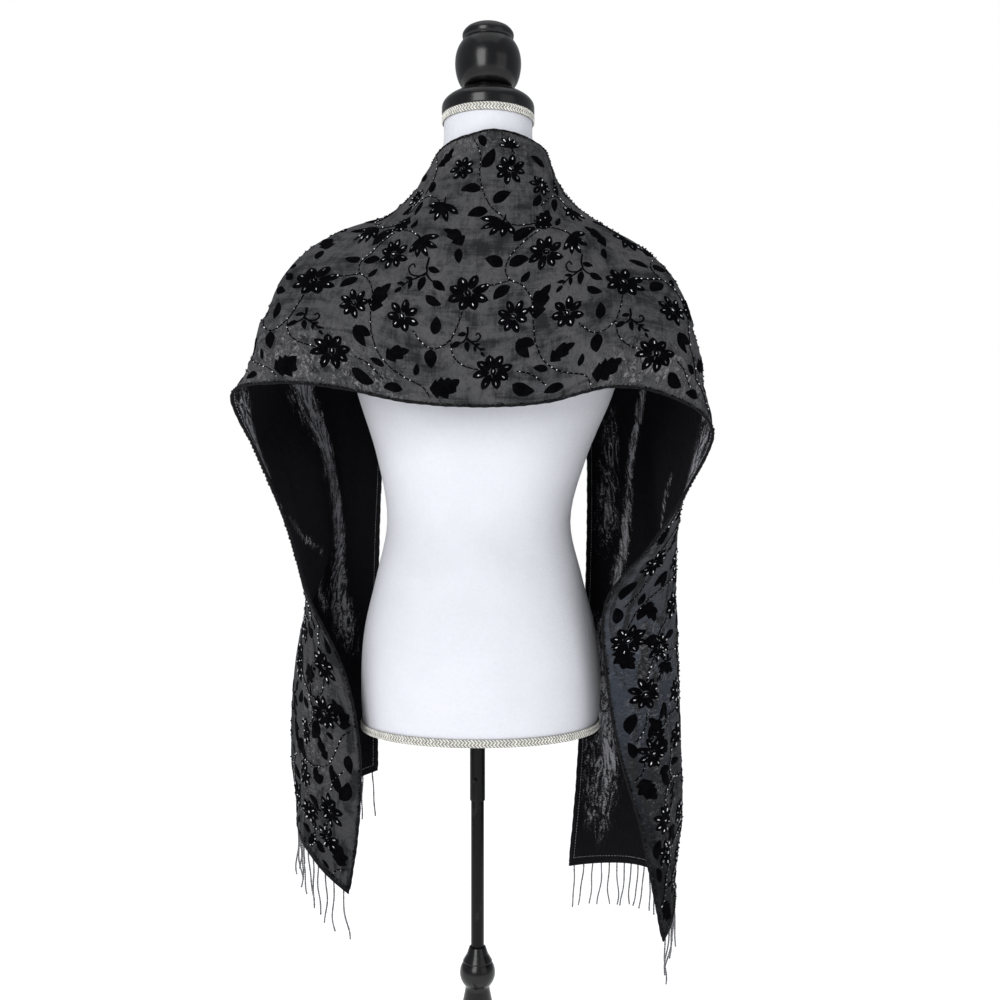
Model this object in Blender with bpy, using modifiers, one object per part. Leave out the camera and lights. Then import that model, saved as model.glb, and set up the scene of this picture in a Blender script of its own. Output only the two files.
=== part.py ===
"""A beaded velvet shawl draped on a limbless dress form that stands on a pole.

The back of the form faces -Y, its chest +Y, and the floor is z = 0 with the pole on the Z axis.
The shawl is one long rectangle: a devore face over a crushed velvet lining. Its middle lies across the
upper back, its neck edge goes round the neck and down the chest, and its hem edge goes out to two
tented corners and down, so that each end hangs as an open C round the side of the form.
"""

import math

import bmesh
import bpy
import numpy as np
from mathutils import Matrix

GAP = 0.0003  # between pieces that touch
SEAM_GAP = 0.0005  # along the cloth between its stretches, whose seams run at a slant

# Shawl cloth
FACE_WALL = 0.0012
LINING_WALL = 0.0012
CLOTH_OFF_FORM = 0.0046  # from the form to the line between face and lining
LEFT_CORNER = -0.29  # along the cloth, measured from the centre of the back
RIGHT_CORNER = 0.30
LEFT_END = -0.865
RIGHT_END = 0.95
CELL_LENGTH = 0.0275  # along the cloth
CELLS_ACROSS = 11

# Fringe
STRAND_PITCH = 0.0120
STRAND_LENGTH = 0.057
STRAND_WIDTH = 0.0016
HEADER_HEIGHT = 0.004

# Dress form
FORM_BOTTOM = 0.6194
FORM_TOP = 1.3066
FORM_RINGS = 26
FORM_SIDES = 36
BRAID_HEIGHT = 0.0088
BRAID_WALL = 0.0016

# Stand
TURNED_STEPS = 24
SOCKET_RADIUS = 0.0086
SOCKET_BOTTOM = 0.5346
POLE_RADIUS = 0.0073
POLE_BOTTOM = 0.335
COLUMN_TOP = 0.3695
LEG_REACH = 0.262
LEG_THICKNESS = 0.026
LEG_COUNT = 3

FORM_COLUMNS = ("z", "centre_x", "half_width", "front", "back", "squareness")
FORM_SECTIONS = [
    (0.6194, 0.003, 0.1315, 0.112, 0.116, 2.1),
    (0.666, 0.004, 0.1345, 0.110, 0.119, 2.1),
    (0.728, 0.003, 0.1300, 0.103, 0.115, 2.1),
    (0.789, 0.002, 0.1155, 0.093, 0.100, 2.1),
    (0.848, 0.0015, 0.1033, 0.083, 0.082, 2.1),
    (0.922, 0.005, 0.1180, 0.100, 0.090, 2.1),
    (0.997, 0.009, 0.1450, 0.123, 0.103, 2.1),
    (1.040, 0.010, 0.1560, 0.128, 0.109, 2.1),
    (1.090, 0.011, 0.1630, 0.118, 0.112, 2.1),
    (1.130, 0.011, 0.1660, 0.100, 0.109, 2.1),
    (1.148, 0.012, 0.1620, 0.088, 0.101, 2.1),
    (1.1614, 0.012, 0.1500, 0.077, 0.090, 2.1),
    (1.1764, 0.012, 0.1265, 0.066, 0.079, 2.0),
    (1.187, 0.012, 0.1105, 0.061, 0.073, 2.0),
    (1.2005, 0.012, 0.0935, 0.056, 0.067, 2.0),
    (1.2165, 0.012, 0.0785, 0.053, 0.062, 2.0),
    (1.2344, 0.012, 0.0680, 0.050, 0.058, 2.0),
    (1.250, 0.012, 0.0580, 0.049, 0.055, 2.0),
    (1.270, 0.012, 0.0515, 0.049, 0.053, 2.0),
    (1.3066, 0.012, 0.0500, 0.050, 0.052, 2.0),
]

# One row for each section across the cloth. Its four points run from the neck edge to the hem edge.
SHAWL_COLUMNS = ("along", "neck", "inner", "outer", "hem")
SHAWL_SECTIONS = [
    (-0.865, (-0.124, 0.100, 0.548), (-0.180, 0.112, 0.522), (-0.203, 0.005, 0.506), (-0.1356, -0.070, 0.457)),
    (-0.79, (-0.124, 0.101, 0.621), (-0.182, 0.114, 0.585), (-0.203, 0.004, 0.557), (-0.1262, -0.072, 0.521)),
    (-0.71, (-0.124, 0.102, 0.701), (-0.182, 0.116, 0.667), (-0.203, 0.002, 0.630), (-0.1235, -0.073, 0.600)),
    (-0.62, (-0.123, 0.102, 0.791), (-0.176, 0.118, 0.765), (-0.197, 0.002, 0.722), (-0.1400, -0.072, 0.688)),
    (-0.53, (-0.120, 0.101, 0.881), (-0.160, 0.124, 0.853), (-0.197, 0.028, 0.811), (-0.1800, -0.058, 0.767)),
    (-0.44, (-0.115, 0.098, 0.969), (-0.165, 0.126, 0.941), (-0.211, 0.026, 0.900), (-0.2070, -0.055, 0.851)),
    (-0.36, (-0.105, 0.092, 1.050), (-0.170, 0.105, 1.036), (-0.235, 0.026, 0.985), (-0.2360, -0.062, 0.924)),
    (-0.29, (-0.092, 0.078, 1.125), (-0.170, 0.067, 1.122), (-0.222, -0.004, 1.058), (-0.2620, -0.070, 0.9845)),
    (-0.21, (-0.078, 0.046, 1.182), (-0.150, -0.004, 1.176), (-0.206, -0.064, 1.112), (-0.2060, -0.117, 0.995)),
    (-0.14, (-0.054, 0.020, 1.236), (-0.094, -0.036, 1.176), (-0.134, -0.105, 1.095), (-0.1370, -0.136, 0.988)),
    (-0.07, (-0.041, -0.022, 1.259), (-0.055, -0.078, 1.178), (-0.069, -0.122, 1.080), (-0.0700, -0.141, 0.974)),
    (0.00, (0.014, -0.061, 1.273), (0.010, -0.096, 1.165), (0.004, -0.127, 1.067), (0.0000, -0.143, 0.969)),
    (0.07, (0.068, -0.024, 1.268), (0.078, -0.078, 1.178), (0.078, -0.122, 1.083), (0.0700, -0.141, 0.973)),
    (0.14, (0.085, 0.017, 1.246), (0.118, -0.034, 1.180), (0.146, -0.104, 1.098), (0.1380, -0.136, 0.989)),
    (0.21, (0.101, 0.046, 1.182), (0.168, -0.004, 1.166), (0.213, -0.062, 1.106), (0.1980, -0.117, 0.982)),
    (0.30, (0.116, 0.078, 1.112), (0.180, 0.068, 1.100), (0.231, 0.000, 1.040), (0.2532, -0.070, 0.945)),
    (0.37, (0.126, 0.092, 1.040), (0.182, 0.104, 1.015), (0.230, 0.026, 0.955), (0.2265, -0.070, 0.887)),
    (0.45, (0.131, 0.100, 0.960), (0.180, 0.122, 0.930), (0.227, 0.030, 0.880), (0.1870, -0.081, 0.829)),
    (0.54, (0.132, 0.104, 0.870), (0.184, 0.118, 0.840), (0.226, 0.006, 0.795), (0.1366, -0.089, 0.766)),
    (0.63, (0.131, 0.106, 0.780), (0.184, 0.112, 0.750), (0.225, 0.002, 0.712), (0.1380, -0.087, 0.685)),
    (0.72, (0.128, 0.106, 0.690), (0.184, 0.112, 0.662), (0.228, 0.000, 0.628), (0.1518, -0.082, 0.605)),
    (0.81, (0.123, 0.104, 0.600), (0.184, 0.114, 0.575), (0.230, -0.002, 0.545), (0.1745, -0.073, 0.527)),
    (0.88, (0.118, 0.102, 0.520), (0.184, 0.120, 0.500), (0.229, 0.006, 0.482), (0.1875, -0.066, 0.466)),
    (0.95, (0.110, 0.100, 0.432), (0.176, 0.118, 0.430), (0.223, 0.000, 0.432), (0.2001, -0.062, 0.403)),
]

# One row for each soft fold: where its line starts and ends along and across the cloth, how far its
# crest stands off the cloth and its half width. A negative depth is a trough seen from the face.
FOLD_COLUMNS = ("along_a", "along_b", "across_a", "across_b", "depth", "half_width")
FOLDS = [
    (-0.31, -0.64, 0.16, 0.13, -0.006, 0.028),
    (-0.34, -0.66, 0.53, 0.46, -0.012, 0.036),
    (-0.52, -0.90, 0.40, 0.50, 0.008, 0.034),
    (-0.66, -0.90, 0.78, 0.80, -0.006, 0.028),
    (0.31, 0.64, 0.16, 0.13, -0.006, 0.028),
    (0.33, 0.62, 0.54, 0.48, -0.012, 0.036),
    (0.50, 0.98, 0.40, 0.48, 0.008, 0.034),
    (0.66, 0.98, 0.17, 0.18, -0.006, 0.028),
    (0.70, 0.98, 0.76, 0.81, -0.006, 0.028),
    (-0.12, -0.27, 0.98, 0.72, 0.005, 0.024),
    (-0.17, -0.29, 0.90, 0.55, -0.004, 0.022),
    (0.14, 0.28, 0.98, 0.74, 0.005, 0.024),
    (0.19, 0.31, 0.90, 0.56, -0.004, 0.022),
]


def rows(columns, table):
    """The table's rows as dictionaries, by the names of its columns."""
    return [dict(zip(columns, row)) for row in table]


def smooth_read(knots, values, at):
    """The values read at each place by a smooth curve through the knots, straight on past its ends."""
    knots = np.asarray(knots, float)
    values = np.asarray(values, float)
    at = np.asarray(at, float)
    slopes = np.gradient(values, knots, axis=0)
    cell = np.clip(np.searchsorted(knots, at, side="right") - 1, 0, len(knots) - 2)
    width = knots[cell + 1] - knots[cell]
    t = np.clip((at - knots[cell]) / width, 0, 1)
    past = at - knots[cell] - t * width
    if values.ndim > 1:
        t, width, past = t[..., None], width[..., None], past[..., None]
    start = values[cell] * (1 + 2 * t) * (1 - t) ** 2 + slopes[cell] * width * t * (1 - t) ** 2
    end = values[cell + 1] * t**2 * (3 - 2 * t) + slopes[cell + 1] * width * t**2 * (t - 1)
    beyond = past * np.where(past > 0, slopes[-1], slopes[0])
    return start + end + beyond


def through_points(corners, v):
    """Each section's smooth curve through its four points, read at v from 0 at the neck edge to 1 at the hem."""
    spans = np.linalg.norm(np.diff(corners, axis=1), axis=-1)
    places = np.concatenate([np.zeros((len(corners), 1)), np.cumsum(spans, axis=1)], axis=1)
    places = (places / places[:, -1:])[:, None, :]
    at = np.asarray(v)[None, :]
    curve = 0
    for i in range(4):
        here = places[..., i]
        others = [places[..., j] for j in range(4) if j != i]
        weight = np.prod([(at - other) / (here - other) for other in others], axis=0)
        curve = curve + weight[..., None] * corners[:, i, None, :]
    return curve


def form_size(z):
    """The form's centre, half width, depths and squareness at each height, as columns."""
    sections = rows(FORM_COLUMNS, FORM_SECTIONS)
    sizes = [[section[name] for name in FORM_COLUMNS[1:]] for section in sections]
    return smooth_read([section["z"] for section in sections], sizes, z)


def form_point(angle, z, out=0.0):
    """The form's surface at a height and a plan angle from +X, moved out level by a distance."""
    centre, half, front, back, square = np.moveaxis(form_size(z), -1, 0)
    cos, sin = np.cos(angle), np.sin(angle)
    depth = np.where(sin > 0, front, back) + out
    x = centre + (half + out) * np.sign(cos) * np.abs(cos) ** (2 / square)
    y = depth * np.sign(sin) * np.abs(sin) ** (2 / square)
    return np.stack([x, y, z + 0 * x], axis=-1)


def form_level(points):
    """1 on the form's surface, less inside it and more outside it."""
    centre, half, front, back, square = np.moveaxis(form_size(points[..., 2]), -1, 0)
    depth = np.where(points[..., 1] > 0, front, back)
    x = np.abs(points[..., 0] - centre) / half
    y = np.abs(points[..., 1]) / depth
    return (x**square + y**square) ** (1 / square)


def push_off_form(points, clear):
    """The points, with those nearer the form than clear moved straight out of it."""
    step = 1e-4
    for _ in range(6):
        level = form_level(points)
        slope = np.stack(
            [form_level(points + step * axis) - form_level(points - step * axis) for axis in np.eye(3)],
            axis=-1,
        ) / (2 * step)
        steep = np.linalg.norm(slope, axis=-1)
        short = np.maximum(clear - (level - 1) / steep, 0)
        points = points + (short / steep)[..., None] * slope
    return points


def normals_of(surface, u, v):
    """Unit normals of a surface of u and v toward the cloth's face side."""
    step = 0.004
    along = surface(u + step, v) - surface(u - step, v)
    across = surface(u, np.minimum(v + step, 1)) - surface(u, np.maximum(v - step, 0))
    normal = np.cross(across, along)
    return normal / np.linalg.norm(normal, axis=-1, keepdims=True)


def cloth_sections():
    """Where the sections are along the cloth, and the four points of each."""
    sections = rows(SHAWL_COLUMNS, SHAWL_SECTIONS)
    corners = [[section[name] for name in SHAWL_COLUMNS[1:]] for section in sections]
    return [section["along"] for section in sections], np.array(corners)


def cloth_width():
    """The usual length of the sections across the cloth."""
    _, corners = cloth_sections()
    return float(np.linalg.norm(np.diff(corners, axis=1), axis=-1).sum(axis=1).mean())


def fold_height(u, v):
    """How far the folds stand off the cloth at u along it and v across it."""
    width = cloth_width()
    height = np.zeros_like(u)
    for fold in rows(FOLD_COLUMNS, FOLDS):
        t = (u - fold["along_a"]) / (fold["along_b"] - fold["along_a"])
        line = fold["across_a"] + t * (fold["across_b"] - fold["across_a"])
        side = (v - line) * width / fold["half_width"]
        fade = np.clip(3 * t, 0, 1) * np.clip(3 * (1 - t), 0, 1)
        fade = fade * fade * (3 - 2 * fade)
        height += fold["depth"] * fade * np.exp(-(side**2))
    return height


def plain_shawl(u, v):
    """The cloth without its folds, a grid of points for each place u along and v across it."""
    along, corners = cloth_sections()
    at_u = smooth_read(along, corners.reshape(len(along), -1), u)
    return through_points(at_u.reshape(len(u), 4, 3), v)


def shawl(u, v):
    """The line between face and lining, folds and all, for each place u along and v across the cloth."""
    uu, vv = np.meshgrid(u, v, indexing="ij")
    points = plain_shawl(u, v) + fold_height(uu, vv)[..., None] * normals_of(plain_shawl, u, v)
    return push_off_form(points, CLOTH_OFF_FORM)


def clear_scene():
    for obj in list(bpy.data.objects):
        bpy.data.objects.remove(obj, do_unlink=True)


def new_collection(name):
    collection = bpy.data.collections.new(name)
    bpy.context.scene.collection.children.link(collection)
    return collection


def new_material(name, colour, roughness, metallic=0.0):
    material = bpy.data.materials.new(name)
    material.use_nodes = True
    shader = material.node_tree.nodes["Principled BSDF"]
    shader.inputs["Base Color"].default_value = (*colour, 1.0)
    shader.inputs["Roughness"].default_value = roughness
    shader.inputs["Metallic"].default_value = metallic
    return material


def new_object(name, data, collection, material):
    obj = bpy.data.objects.new(name, data)
    collection.objects.link(obj)
    if material:
        data.materials.append(material)
    return obj


def grid_mesh(name, points, closed_across=False):
    """An open mesh over a grid of points, its faces turned to the side of normals_of."""
    mesh = bpy.data.meshes.new(name)
    bm = bmesh.new()
    grid = [[bm.verts.new(point) for point in row] for row in points]
    columns = len(grid[0])
    for i in range(len(grid) - 1):
        for j in range(columns if closed_across else columns - 1):
            k = (j + 1) % columns
            bm.faces.new((grid[i][j], grid[i][k], grid[i + 1][k], grid[i + 1][j]))
    bm.to_mesh(mesh)
    bm.free()
    mesh.shade_smooth()
    return mesh


def wall_mesh(name, outer, inner):
    """A closed wall between two grids of points, the outer one on the side of normals_of."""
    mesh = bpy.data.meshes.new(name)
    bm = bmesh.new()
    sheets = [[[bm.verts.new(point) for point in row] for row in grid] for grid in (outer, inner)]
    for top, rest in ((sheets[0], False), (sheets[1], True)):
        for row, after in zip(top, top[1:]):
            for a, b, c, d in zip(row, row[1:], after[1:], after):
                for corner in ((a, b, c), (a, c, d)):
                    bm.faces.new(corner[::-1] if rest else corner)
    for rim_a, rim_b in zip(rim_of(sheets[0]), rim_of(sheets[1])):
        bm.faces.new((rim_a[1], rim_a[0], rim_b[0], rim_b[1]))
    bm.to_mesh(mesh)
    bm.free()
    mesh.shade_smooth()
    return mesh


def rim_of(grid):
    """The pairs of neighbouring points round the edge of a grid, in order."""
    loop = grid[0][:-1] + [row[-1] for row in grid[:-1]] + grid[-1][:0:-1] + [row[0] for row in grid[:0:-1]]
    return list(zip(loop, loop[1:] + loop[:1]))


def stations(start, end):
    """Places along the cloth between two seams, each end held half a gap back from its seam."""
    inside_start = start + SEAM_GAP / 2
    inside_end = end - SEAM_GAP / 2
    cells = max(1, round((end - start) / CELL_LENGTH))
    return np.linspace(inside_start, inside_end, cells + 1)


def add_stretch(name, start, end, collection, face_material, lining_material):
    """The face and the lining of one stretch of the shawl."""
    u = stations(start, end)
    v = np.linspace(0, 1, CELLS_ACROSS + 1)
    points = shawl(u, v)
    normals = normals_of(shawl, u, v)
    seam = GAP / 2 * normals
    face = wall_mesh("face", points + seam + FACE_WALL * normals, points + seam)
    new_object(f"shawl_face_{name}", face, collection, face_material)
    lining = wall_mesh("lining", points - seam, points - seam - LINING_WALL * normals)
    new_object(f"shawl_lining_{name}", lining, collection, lining_material)


def add_fringe(name, end, inward, collection, material):
    """A header strip just past the cloth's end, with its strands hanging from it in one solid."""
    count = int(cloth_width() / STRAND_PITCH)
    half = STRAND_WIDTH / 2 / cloth_width()
    middles = (np.arange(count) + 0.5) / count
    places = np.sort(np.concatenate([[0.0], middles - half, middles + half, [1.0]]))
    v = np.linspace(0, 1, CELLS_ACROSS + 1)
    edge, inside = shawl(np.array([end + inward * SEAM_GAP / 2, end + inward * CELL_LENGTH / 4]), v)
    normal = normals_of(shawl, np.array([end]), v)[0]
    down = edge - inside
    down /= np.linalg.norm(down, axis=1, keepdims=True)
    half_wall = (FACE_WALL + LINING_WALL + GAP) / 2 * normal
    edge, down, half_wall = (
        np.stack([np.interp(places, v, column) for column in values.T], axis=-1)
        for values in (edge, down, half_wall)
    )
    top = edge + SEAM_GAP * down
    bottom = top + HEADER_HEIGHT * down
    mesh = bpy.data.meshes.new(name)
    bm = bmesh.new()
    rings = [
        [bm.verts.new(p) for p in (t - s, t + s, b + s, b - s)]
        for t, b, s in zip(top, bottom, half_wall)
    ]
    bm.faces.new(rings[0])
    bm.faces.new(rings[-1][::-1])
    for i, (ring, after) in enumerate(zip(rings, rings[1:])):
        for j in range(4):
            k = (j + 1) % 4
            face = bm.faces.new((ring[k], ring[j], after[j], after[k]))
            if j == 2 and i % 2 == 1:
                add_strand(bm, face, i)
    bmesh.ops.recalc_face_normals(bm, faces=bm.faces)
    bm.to_mesh(mesh)
    bm.free()
    new_object(name, mesh, collection, material)


def add_strand(bm, face, number):
    """Draws one strand down from its root face, in two steps that sway a little."""
    root = face.calc_center_median()
    for step, share in enumerate((0.5, 1.0)):
        made = bmesh.ops.extrude_discrete_faces(bm, faces=[face])
        face = made["faces"][0]
        sway = 0.0012 * math.sin(2.4 * number + 2.0 * step)
        centre = root.copy()
        centre.x += sway
        centre.y += 0.6 * sway
        centre.z -= share * (STRAND_LENGTH - HEADER_HEIGHT)
        middle = face.calc_center_median()
        size = 0.5 * STRAND_WIDTH
        for vert in face.verts:
            out = vert.co - middle
            out.normalize()
            vert.co = centre + size * out


def add_form(collection, cloth):
    """The torso and neck, one closed loft from the hem plane to the neck plane."""
    table_heights = [section["z"] for section in rows(FORM_COLUMNS, FORM_SECTIONS)]
    ring_at = np.linspace(0, len(table_heights) - 1, FORM_RINGS)
    heights = np.interp(ring_at, np.arange(len(table_heights)), table_heights)
    angles = np.linspace(0, 2 * math.pi, FORM_SIDES, endpoint=False)
    points = np.array([form_point(angles, z) for z in heights])
    mesh = grid_mesh("form_torso", points[::-1], closed_across=True)
    bm = bmesh.new()
    bm.from_mesh(mesh)
    bmesh.ops.holes_fill(bm, edges=[e for e in bm.edges if e.is_boundary], sides=0)
    bmesh.ops.recalc_face_normals(bm, faces=bm.faces)
    bm.to_mesh(mesh)
    bm.free()
    new_object("form_torso", mesh, collection, cloth)


def add_braid(name, bottom, top, collection, material):
    """A band laid on the form between two heights."""
    angles = np.linspace(0, 2 * math.pi, FORM_SIDES, endpoint=False)
    inner = 2 * GAP
    outer = inner + BRAID_WALL
    section = ((bottom, inner), (bottom, outer), (top, outer), (top, inner))
    rings = [form_point(angles, z, out) for z, out in section]
    mesh = bpy.data.meshes.new(name)
    bm = bmesh.new()
    grid = [[bm.verts.new(p) for p in ring] for ring in rings]
    for i in range(4):
        for j in range(FORM_SIDES):
            k = (j + 1) % FORM_SIDES
            n = (i + 1) % 4
            bm.faces.new((grid[i][j], grid[i][k], grid[n][k], grid[n][j]))
    bmesh.ops.recalc_face_normals(bm, faces=bm.faces)
    bm.to_mesh(mesh)
    bm.free()
    new_object(name, mesh, collection, material)


def arc(centre, radius, start, end, steps):
    """Points of a round stretch of a profile, by angles in degrees from straight out."""
    angles = [math.radians(start + (end - start) * i / steps) for i in range(steps + 1)]
    return [(centre[0] + radius * math.cos(a), centre[1] + radius * math.sin(a)) for a in angles]


def add_turned(name, profile, collection, material, centre_x=0.0):
    """A turned piece from a profile of radius and height that runs down its outer side."""
    mesh = bpy.data.meshes.new(name)
    bm = bmesh.new()
    verts = [bm.verts.new((radius, 0, z)) for radius, z in profile]
    for a, b in zip(verts, verts[1:]):
        bm.edges.new((a, b))
    bm.to_mesh(mesh)
    bm.free()
    obj = new_object(name, mesh, collection, material)
    obj.location.x = centre_x
    screw = obj.modifiers.new("turn", "SCREW")
    screw.steps = TURNED_STEPS
    screw.render_steps = TURNED_STEPS
    screw.use_merge_vertices = True
    screw.merge_threshold = 0.00005
    return obj


def add_neck_hardware(collection, black):
    """The domed neck cap and the turned finial on it."""
    neck = FORM_SECTIONS[-1][1]
    cap_bottom = FORM_TOP + GAP
    cap_top = 1.3383
    rim = 0.0523
    dome = [(rim * math.cos(a), 1.316 + 0.0215 * math.sin(a)) for a in np.radians((0, 25, 48, 66))]
    cap = [(0, cap_top), (0.024, cap_top), *dome[::-1], (rim, cap_bottom + 0.001), (rim - 0.001, cap_bottom)]
    add_turned("neck_cap", [*cap, (0, cap_bottom)], collection, black, neck)
    base = cap_top + GAP
    crown_top = 1.4112
    crown = [(0, crown_top), (0.014, crown_top - 0.0012), (0.0245, crown_top - 0.0055)]
    crown += [(0.0292, 1.3995), (0.0288, 1.3952), (0.0272, 1.3936)]
    ball = [(0.0300, 1.3902), (0.0337, 1.3842), (0.0362, 1.3770), (0.0373, 1.3690), (0.0371, 1.3610)]
    ball += [(0.0356, 1.3525), (0.0328, 1.3450), (0.0294, 1.3402), (0.0272, base)]
    add_turned("finial", [*crown, *ball, (0, base)], collection, black, neck)


def add_stand(collection, black):
    """The socket under the form, the pole, and the turned column that it stands in."""
    seat = FORM_BOTTOM - GAP
    bore = POLE_RADIUS + 0.0004
    plate = 0.034
    socket = [(0, seat), (plate, seat), (plate, seat - 0.003), (SOCKET_RADIUS, seat - 0.0035)]
    socket += [(SOCKET_RADIUS, SOCKET_BOTTOM), (bore, SOCKET_BOTTOM), (bore, seat - 0.004), (0, seat - 0.004)]
    add_turned("pole_socket", socket, collection, black)
    pole = [(0, seat - 0.006), (POLE_RADIUS, seat - 0.006), (POLE_RADIUS, POLE_BOTTOM), (0, POLE_BOTTOM)]
    add_turned("pole", pole, collection, black)
    bottom = POLE_BOTTOM - GAP
    column = [(0, bottom), (bore, bottom), (bore, COLUMN_TOP)]
    column += [(0.0092, COLUMN_TOP), (0.0122, 0.3610), (0.0168, 0.3535)]
    column += arc((0, 0.3405), 0.0200, 38, -38, 6)
    column += [(0.0137, 0.3255), (0.0137, 0.3225), (0.0165, 0.3085), (0.0205, 0.282), (0.0235, 0.252)]
    column += [(0.0215, 0.226), (0.0170, 0.207), (0.0170, 0.203), (0.0300, 0.199), (0.0340, 0.194)]
    column += [(0.0340, 0.094), (0.0300, 0.088), (0.0180, 0.080)]
    column += arc((0, 0.066), 0.0160, 50, -90, 6)[:-1] + [(0, 0.050)]
    add_turned("stand_column", column, collection, black)


def leg_outline():
    """The side of one leg as a closed outline: distance from the pole and height."""
    top = [(0.020, 0.186), (0.048, 0.184), (0.078, 0.166), (0.112, 0.128), (0.150, 0.082), (0.196, 0.047)]
    top += [(0.232, 0.033), (LEG_REACH - 0.004, 0.026)]
    toe = [(LEG_REACH, 0.016), (LEG_REACH, 0.0), (LEG_REACH - 0.032, 0.0)]
    under = [(0.212, 0.010), (0.176, 0.022), (0.128, 0.052), (0.090, 0.088), (0.062, 0.108), (0.020, 0.112)]
    return top + toe + under


def add_legs(collection, cutters, black):
    """Three sawn legs, cut hollow at the inner end where they meet the round column."""
    bpy.ops.mesh.primitive_cylinder_add(vertices=TURNED_STEPS, radius=0.034 + GAP, depth=0.3)
    cutter = bpy.context.object
    cutter.name = "column_cutter"
    cutter.location.z = 0.15
    for old in list(cutter.users_collection):
        old.objects.unlink(cutter)
    cutters.objects.link(cutter)
    cutter.hide_render = True
    cutter.display_type = "WIRE"
    outline = leg_outline()
    for number in range(LEG_COUNT):
        mesh = bpy.data.meshes.new("leg")
        bm = bmesh.new()
        half = LEG_THICKNESS / 2
        near = [bm.verts.new((r, -half, z)) for r, z in outline]
        face = bm.faces.new(near)
        made = bmesh.ops.extrude_face_region(bm, geom=[face])
        for item in made["geom"]:
            if isinstance(item, bmesh.types.BMVert):
                item.co.y += LEG_THICKNESS
        bmesh.ops.recalc_face_normals(bm, faces=bm.faces)
        turn = 2 * math.pi * number / LEG_COUNT
        bmesh.ops.rotate(bm, verts=bm.verts, matrix=Matrix.Rotation(turn, 3, "Z"))
        bm.to_mesh(mesh)
        bm.free()
        leg = new_object(f"leg_{number + 1}", mesh, collection, black)
        cut = leg.modifiers.new("column", "BOOLEAN")
        cut.operation = "DIFFERENCE"
        cut.object = cutter


def main():
    clear_scene()
    parts = new_collection("velvet_shawl_on_form")
    cutters = new_collection("cutters")
    linen = new_material("form_linen", (0.80, 0.80, 0.83), 0.9)
    braid = new_material("form_braid", (0.66, 0.64, 0.56), 0.6)
    black = new_material("stand_black", (0.012, 0.011, 0.011), 0.25)
    devore = new_material("shawl_devore", (0.045, 0.045, 0.048), 0.8)
    velvet = new_material("shawl_velvet", (0.010, 0.010, 0.012), 0.7)
    add_form(parts, linen)
    add_braid("hem_braid", FORM_BOTTOM, FORM_BOTTOM + BRAID_HEIGHT, parts, braid)
    add_braid("neck_braid", FORM_TOP - BRAID_HEIGHT, FORM_TOP, parts, braid)
    add_neck_hardware(parts, black)
    add_stand(parts, black)
    add_legs(parts, cutters, black)
    add_stretch("left", LEFT_END, LEFT_CORNER, parts, devore, velvet)
    add_stretch("back", LEFT_CORNER, RIGHT_CORNER, parts, devore, velvet)
    add_stretch("right", RIGHT_CORNER, RIGHT_END, parts, devore, velvet)
    add_fringe("fringe_left", LEFT_END, 1, parts, devore)
    add_fringe("fringe_right", RIGHT_END, -1, parts, devore)


main()
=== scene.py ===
"""Dresses the velvet shawl and its dress form in devore, crushed velvet, beads, jersey and lacquer.

The cloth is worked out from the same short tables as the solids, on a finer grid, with its smaller creases.
Places on the cloth are given along it from the centre of the back, and across it from the neck edge.
"""

import functools
import math

import bmesh
import bpy
import numpy as np
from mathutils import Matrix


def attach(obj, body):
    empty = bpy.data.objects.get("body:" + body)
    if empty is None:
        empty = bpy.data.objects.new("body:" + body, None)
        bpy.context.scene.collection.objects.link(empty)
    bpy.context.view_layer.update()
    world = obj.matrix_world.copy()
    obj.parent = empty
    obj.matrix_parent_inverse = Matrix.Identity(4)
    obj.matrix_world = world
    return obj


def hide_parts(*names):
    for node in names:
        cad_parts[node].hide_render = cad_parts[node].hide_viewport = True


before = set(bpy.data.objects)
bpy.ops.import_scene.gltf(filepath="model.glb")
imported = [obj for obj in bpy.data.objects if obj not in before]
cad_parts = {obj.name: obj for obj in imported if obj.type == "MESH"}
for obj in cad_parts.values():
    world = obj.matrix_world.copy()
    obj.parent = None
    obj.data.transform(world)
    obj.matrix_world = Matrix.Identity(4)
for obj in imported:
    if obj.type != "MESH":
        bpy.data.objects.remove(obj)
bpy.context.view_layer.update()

bl_info = {
    "name": "Velvet shawl on a dress form",
    "version": (1, 0, 0),
    "blender": (4, 5, 0),
    "location": "View3D > Sidebar > Shawl",
    "description": "Makes the cloth, beads, fringe, form cover, braid and lacquer of a draped velvet shawl",
    "category": "Object",
}

# Shawl cloth, the sizes of its solids
GAP = 0.0003
CLOTH_OFF_FORM = 0.0046
LEFT_END = -0.865
RIGHT_END = 0.95
STRAND_PITCH = 0.0120
STRAND_LENGTH = 0.057
HEADER_HEIGHT = 0.004
HEADER_GAP = 0.0005

# Shawl cloth, its finish
CLOTH_CELL = 0.0045
CLOTH_WALL = 0.0009  # each of the two sheets
FACE_OUT = GAP / 2 + CLOTH_WALL  # from the cloth's middle to the outside of either sheet
REPEAT = 0.160  # the pattern's length along the cloth
REPEAT_START = 0.050  # where one repeat starts along the cloth
CHART_WIDTH = 300.0  # the chart's width across the cloth, in its own millimetres
EDGE_MARGIN = 0.005  # plain cloth inside the hem

# Dress form and stand, the sizes of their solids
FORM_BOTTOM = 0.6194
FORM_TOP = 1.3066
BRAID_HEIGHT = 0.0088
BRAID_WALL = 0.0016
SOCKET_RADIUS = 0.0086
SOCKET_BOTTOM = 0.5346
POLE_RADIUS = 0.0073
POLE_BOTTOM = 0.335
COLUMN_TOP = 0.3695
HUB_RADIUS = 0.034
LEG_REACH = 0.262
LEG_THICKNESS = 0.026
LEG_COUNT = 3
LEG_ROUNDING = 0.0022

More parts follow.
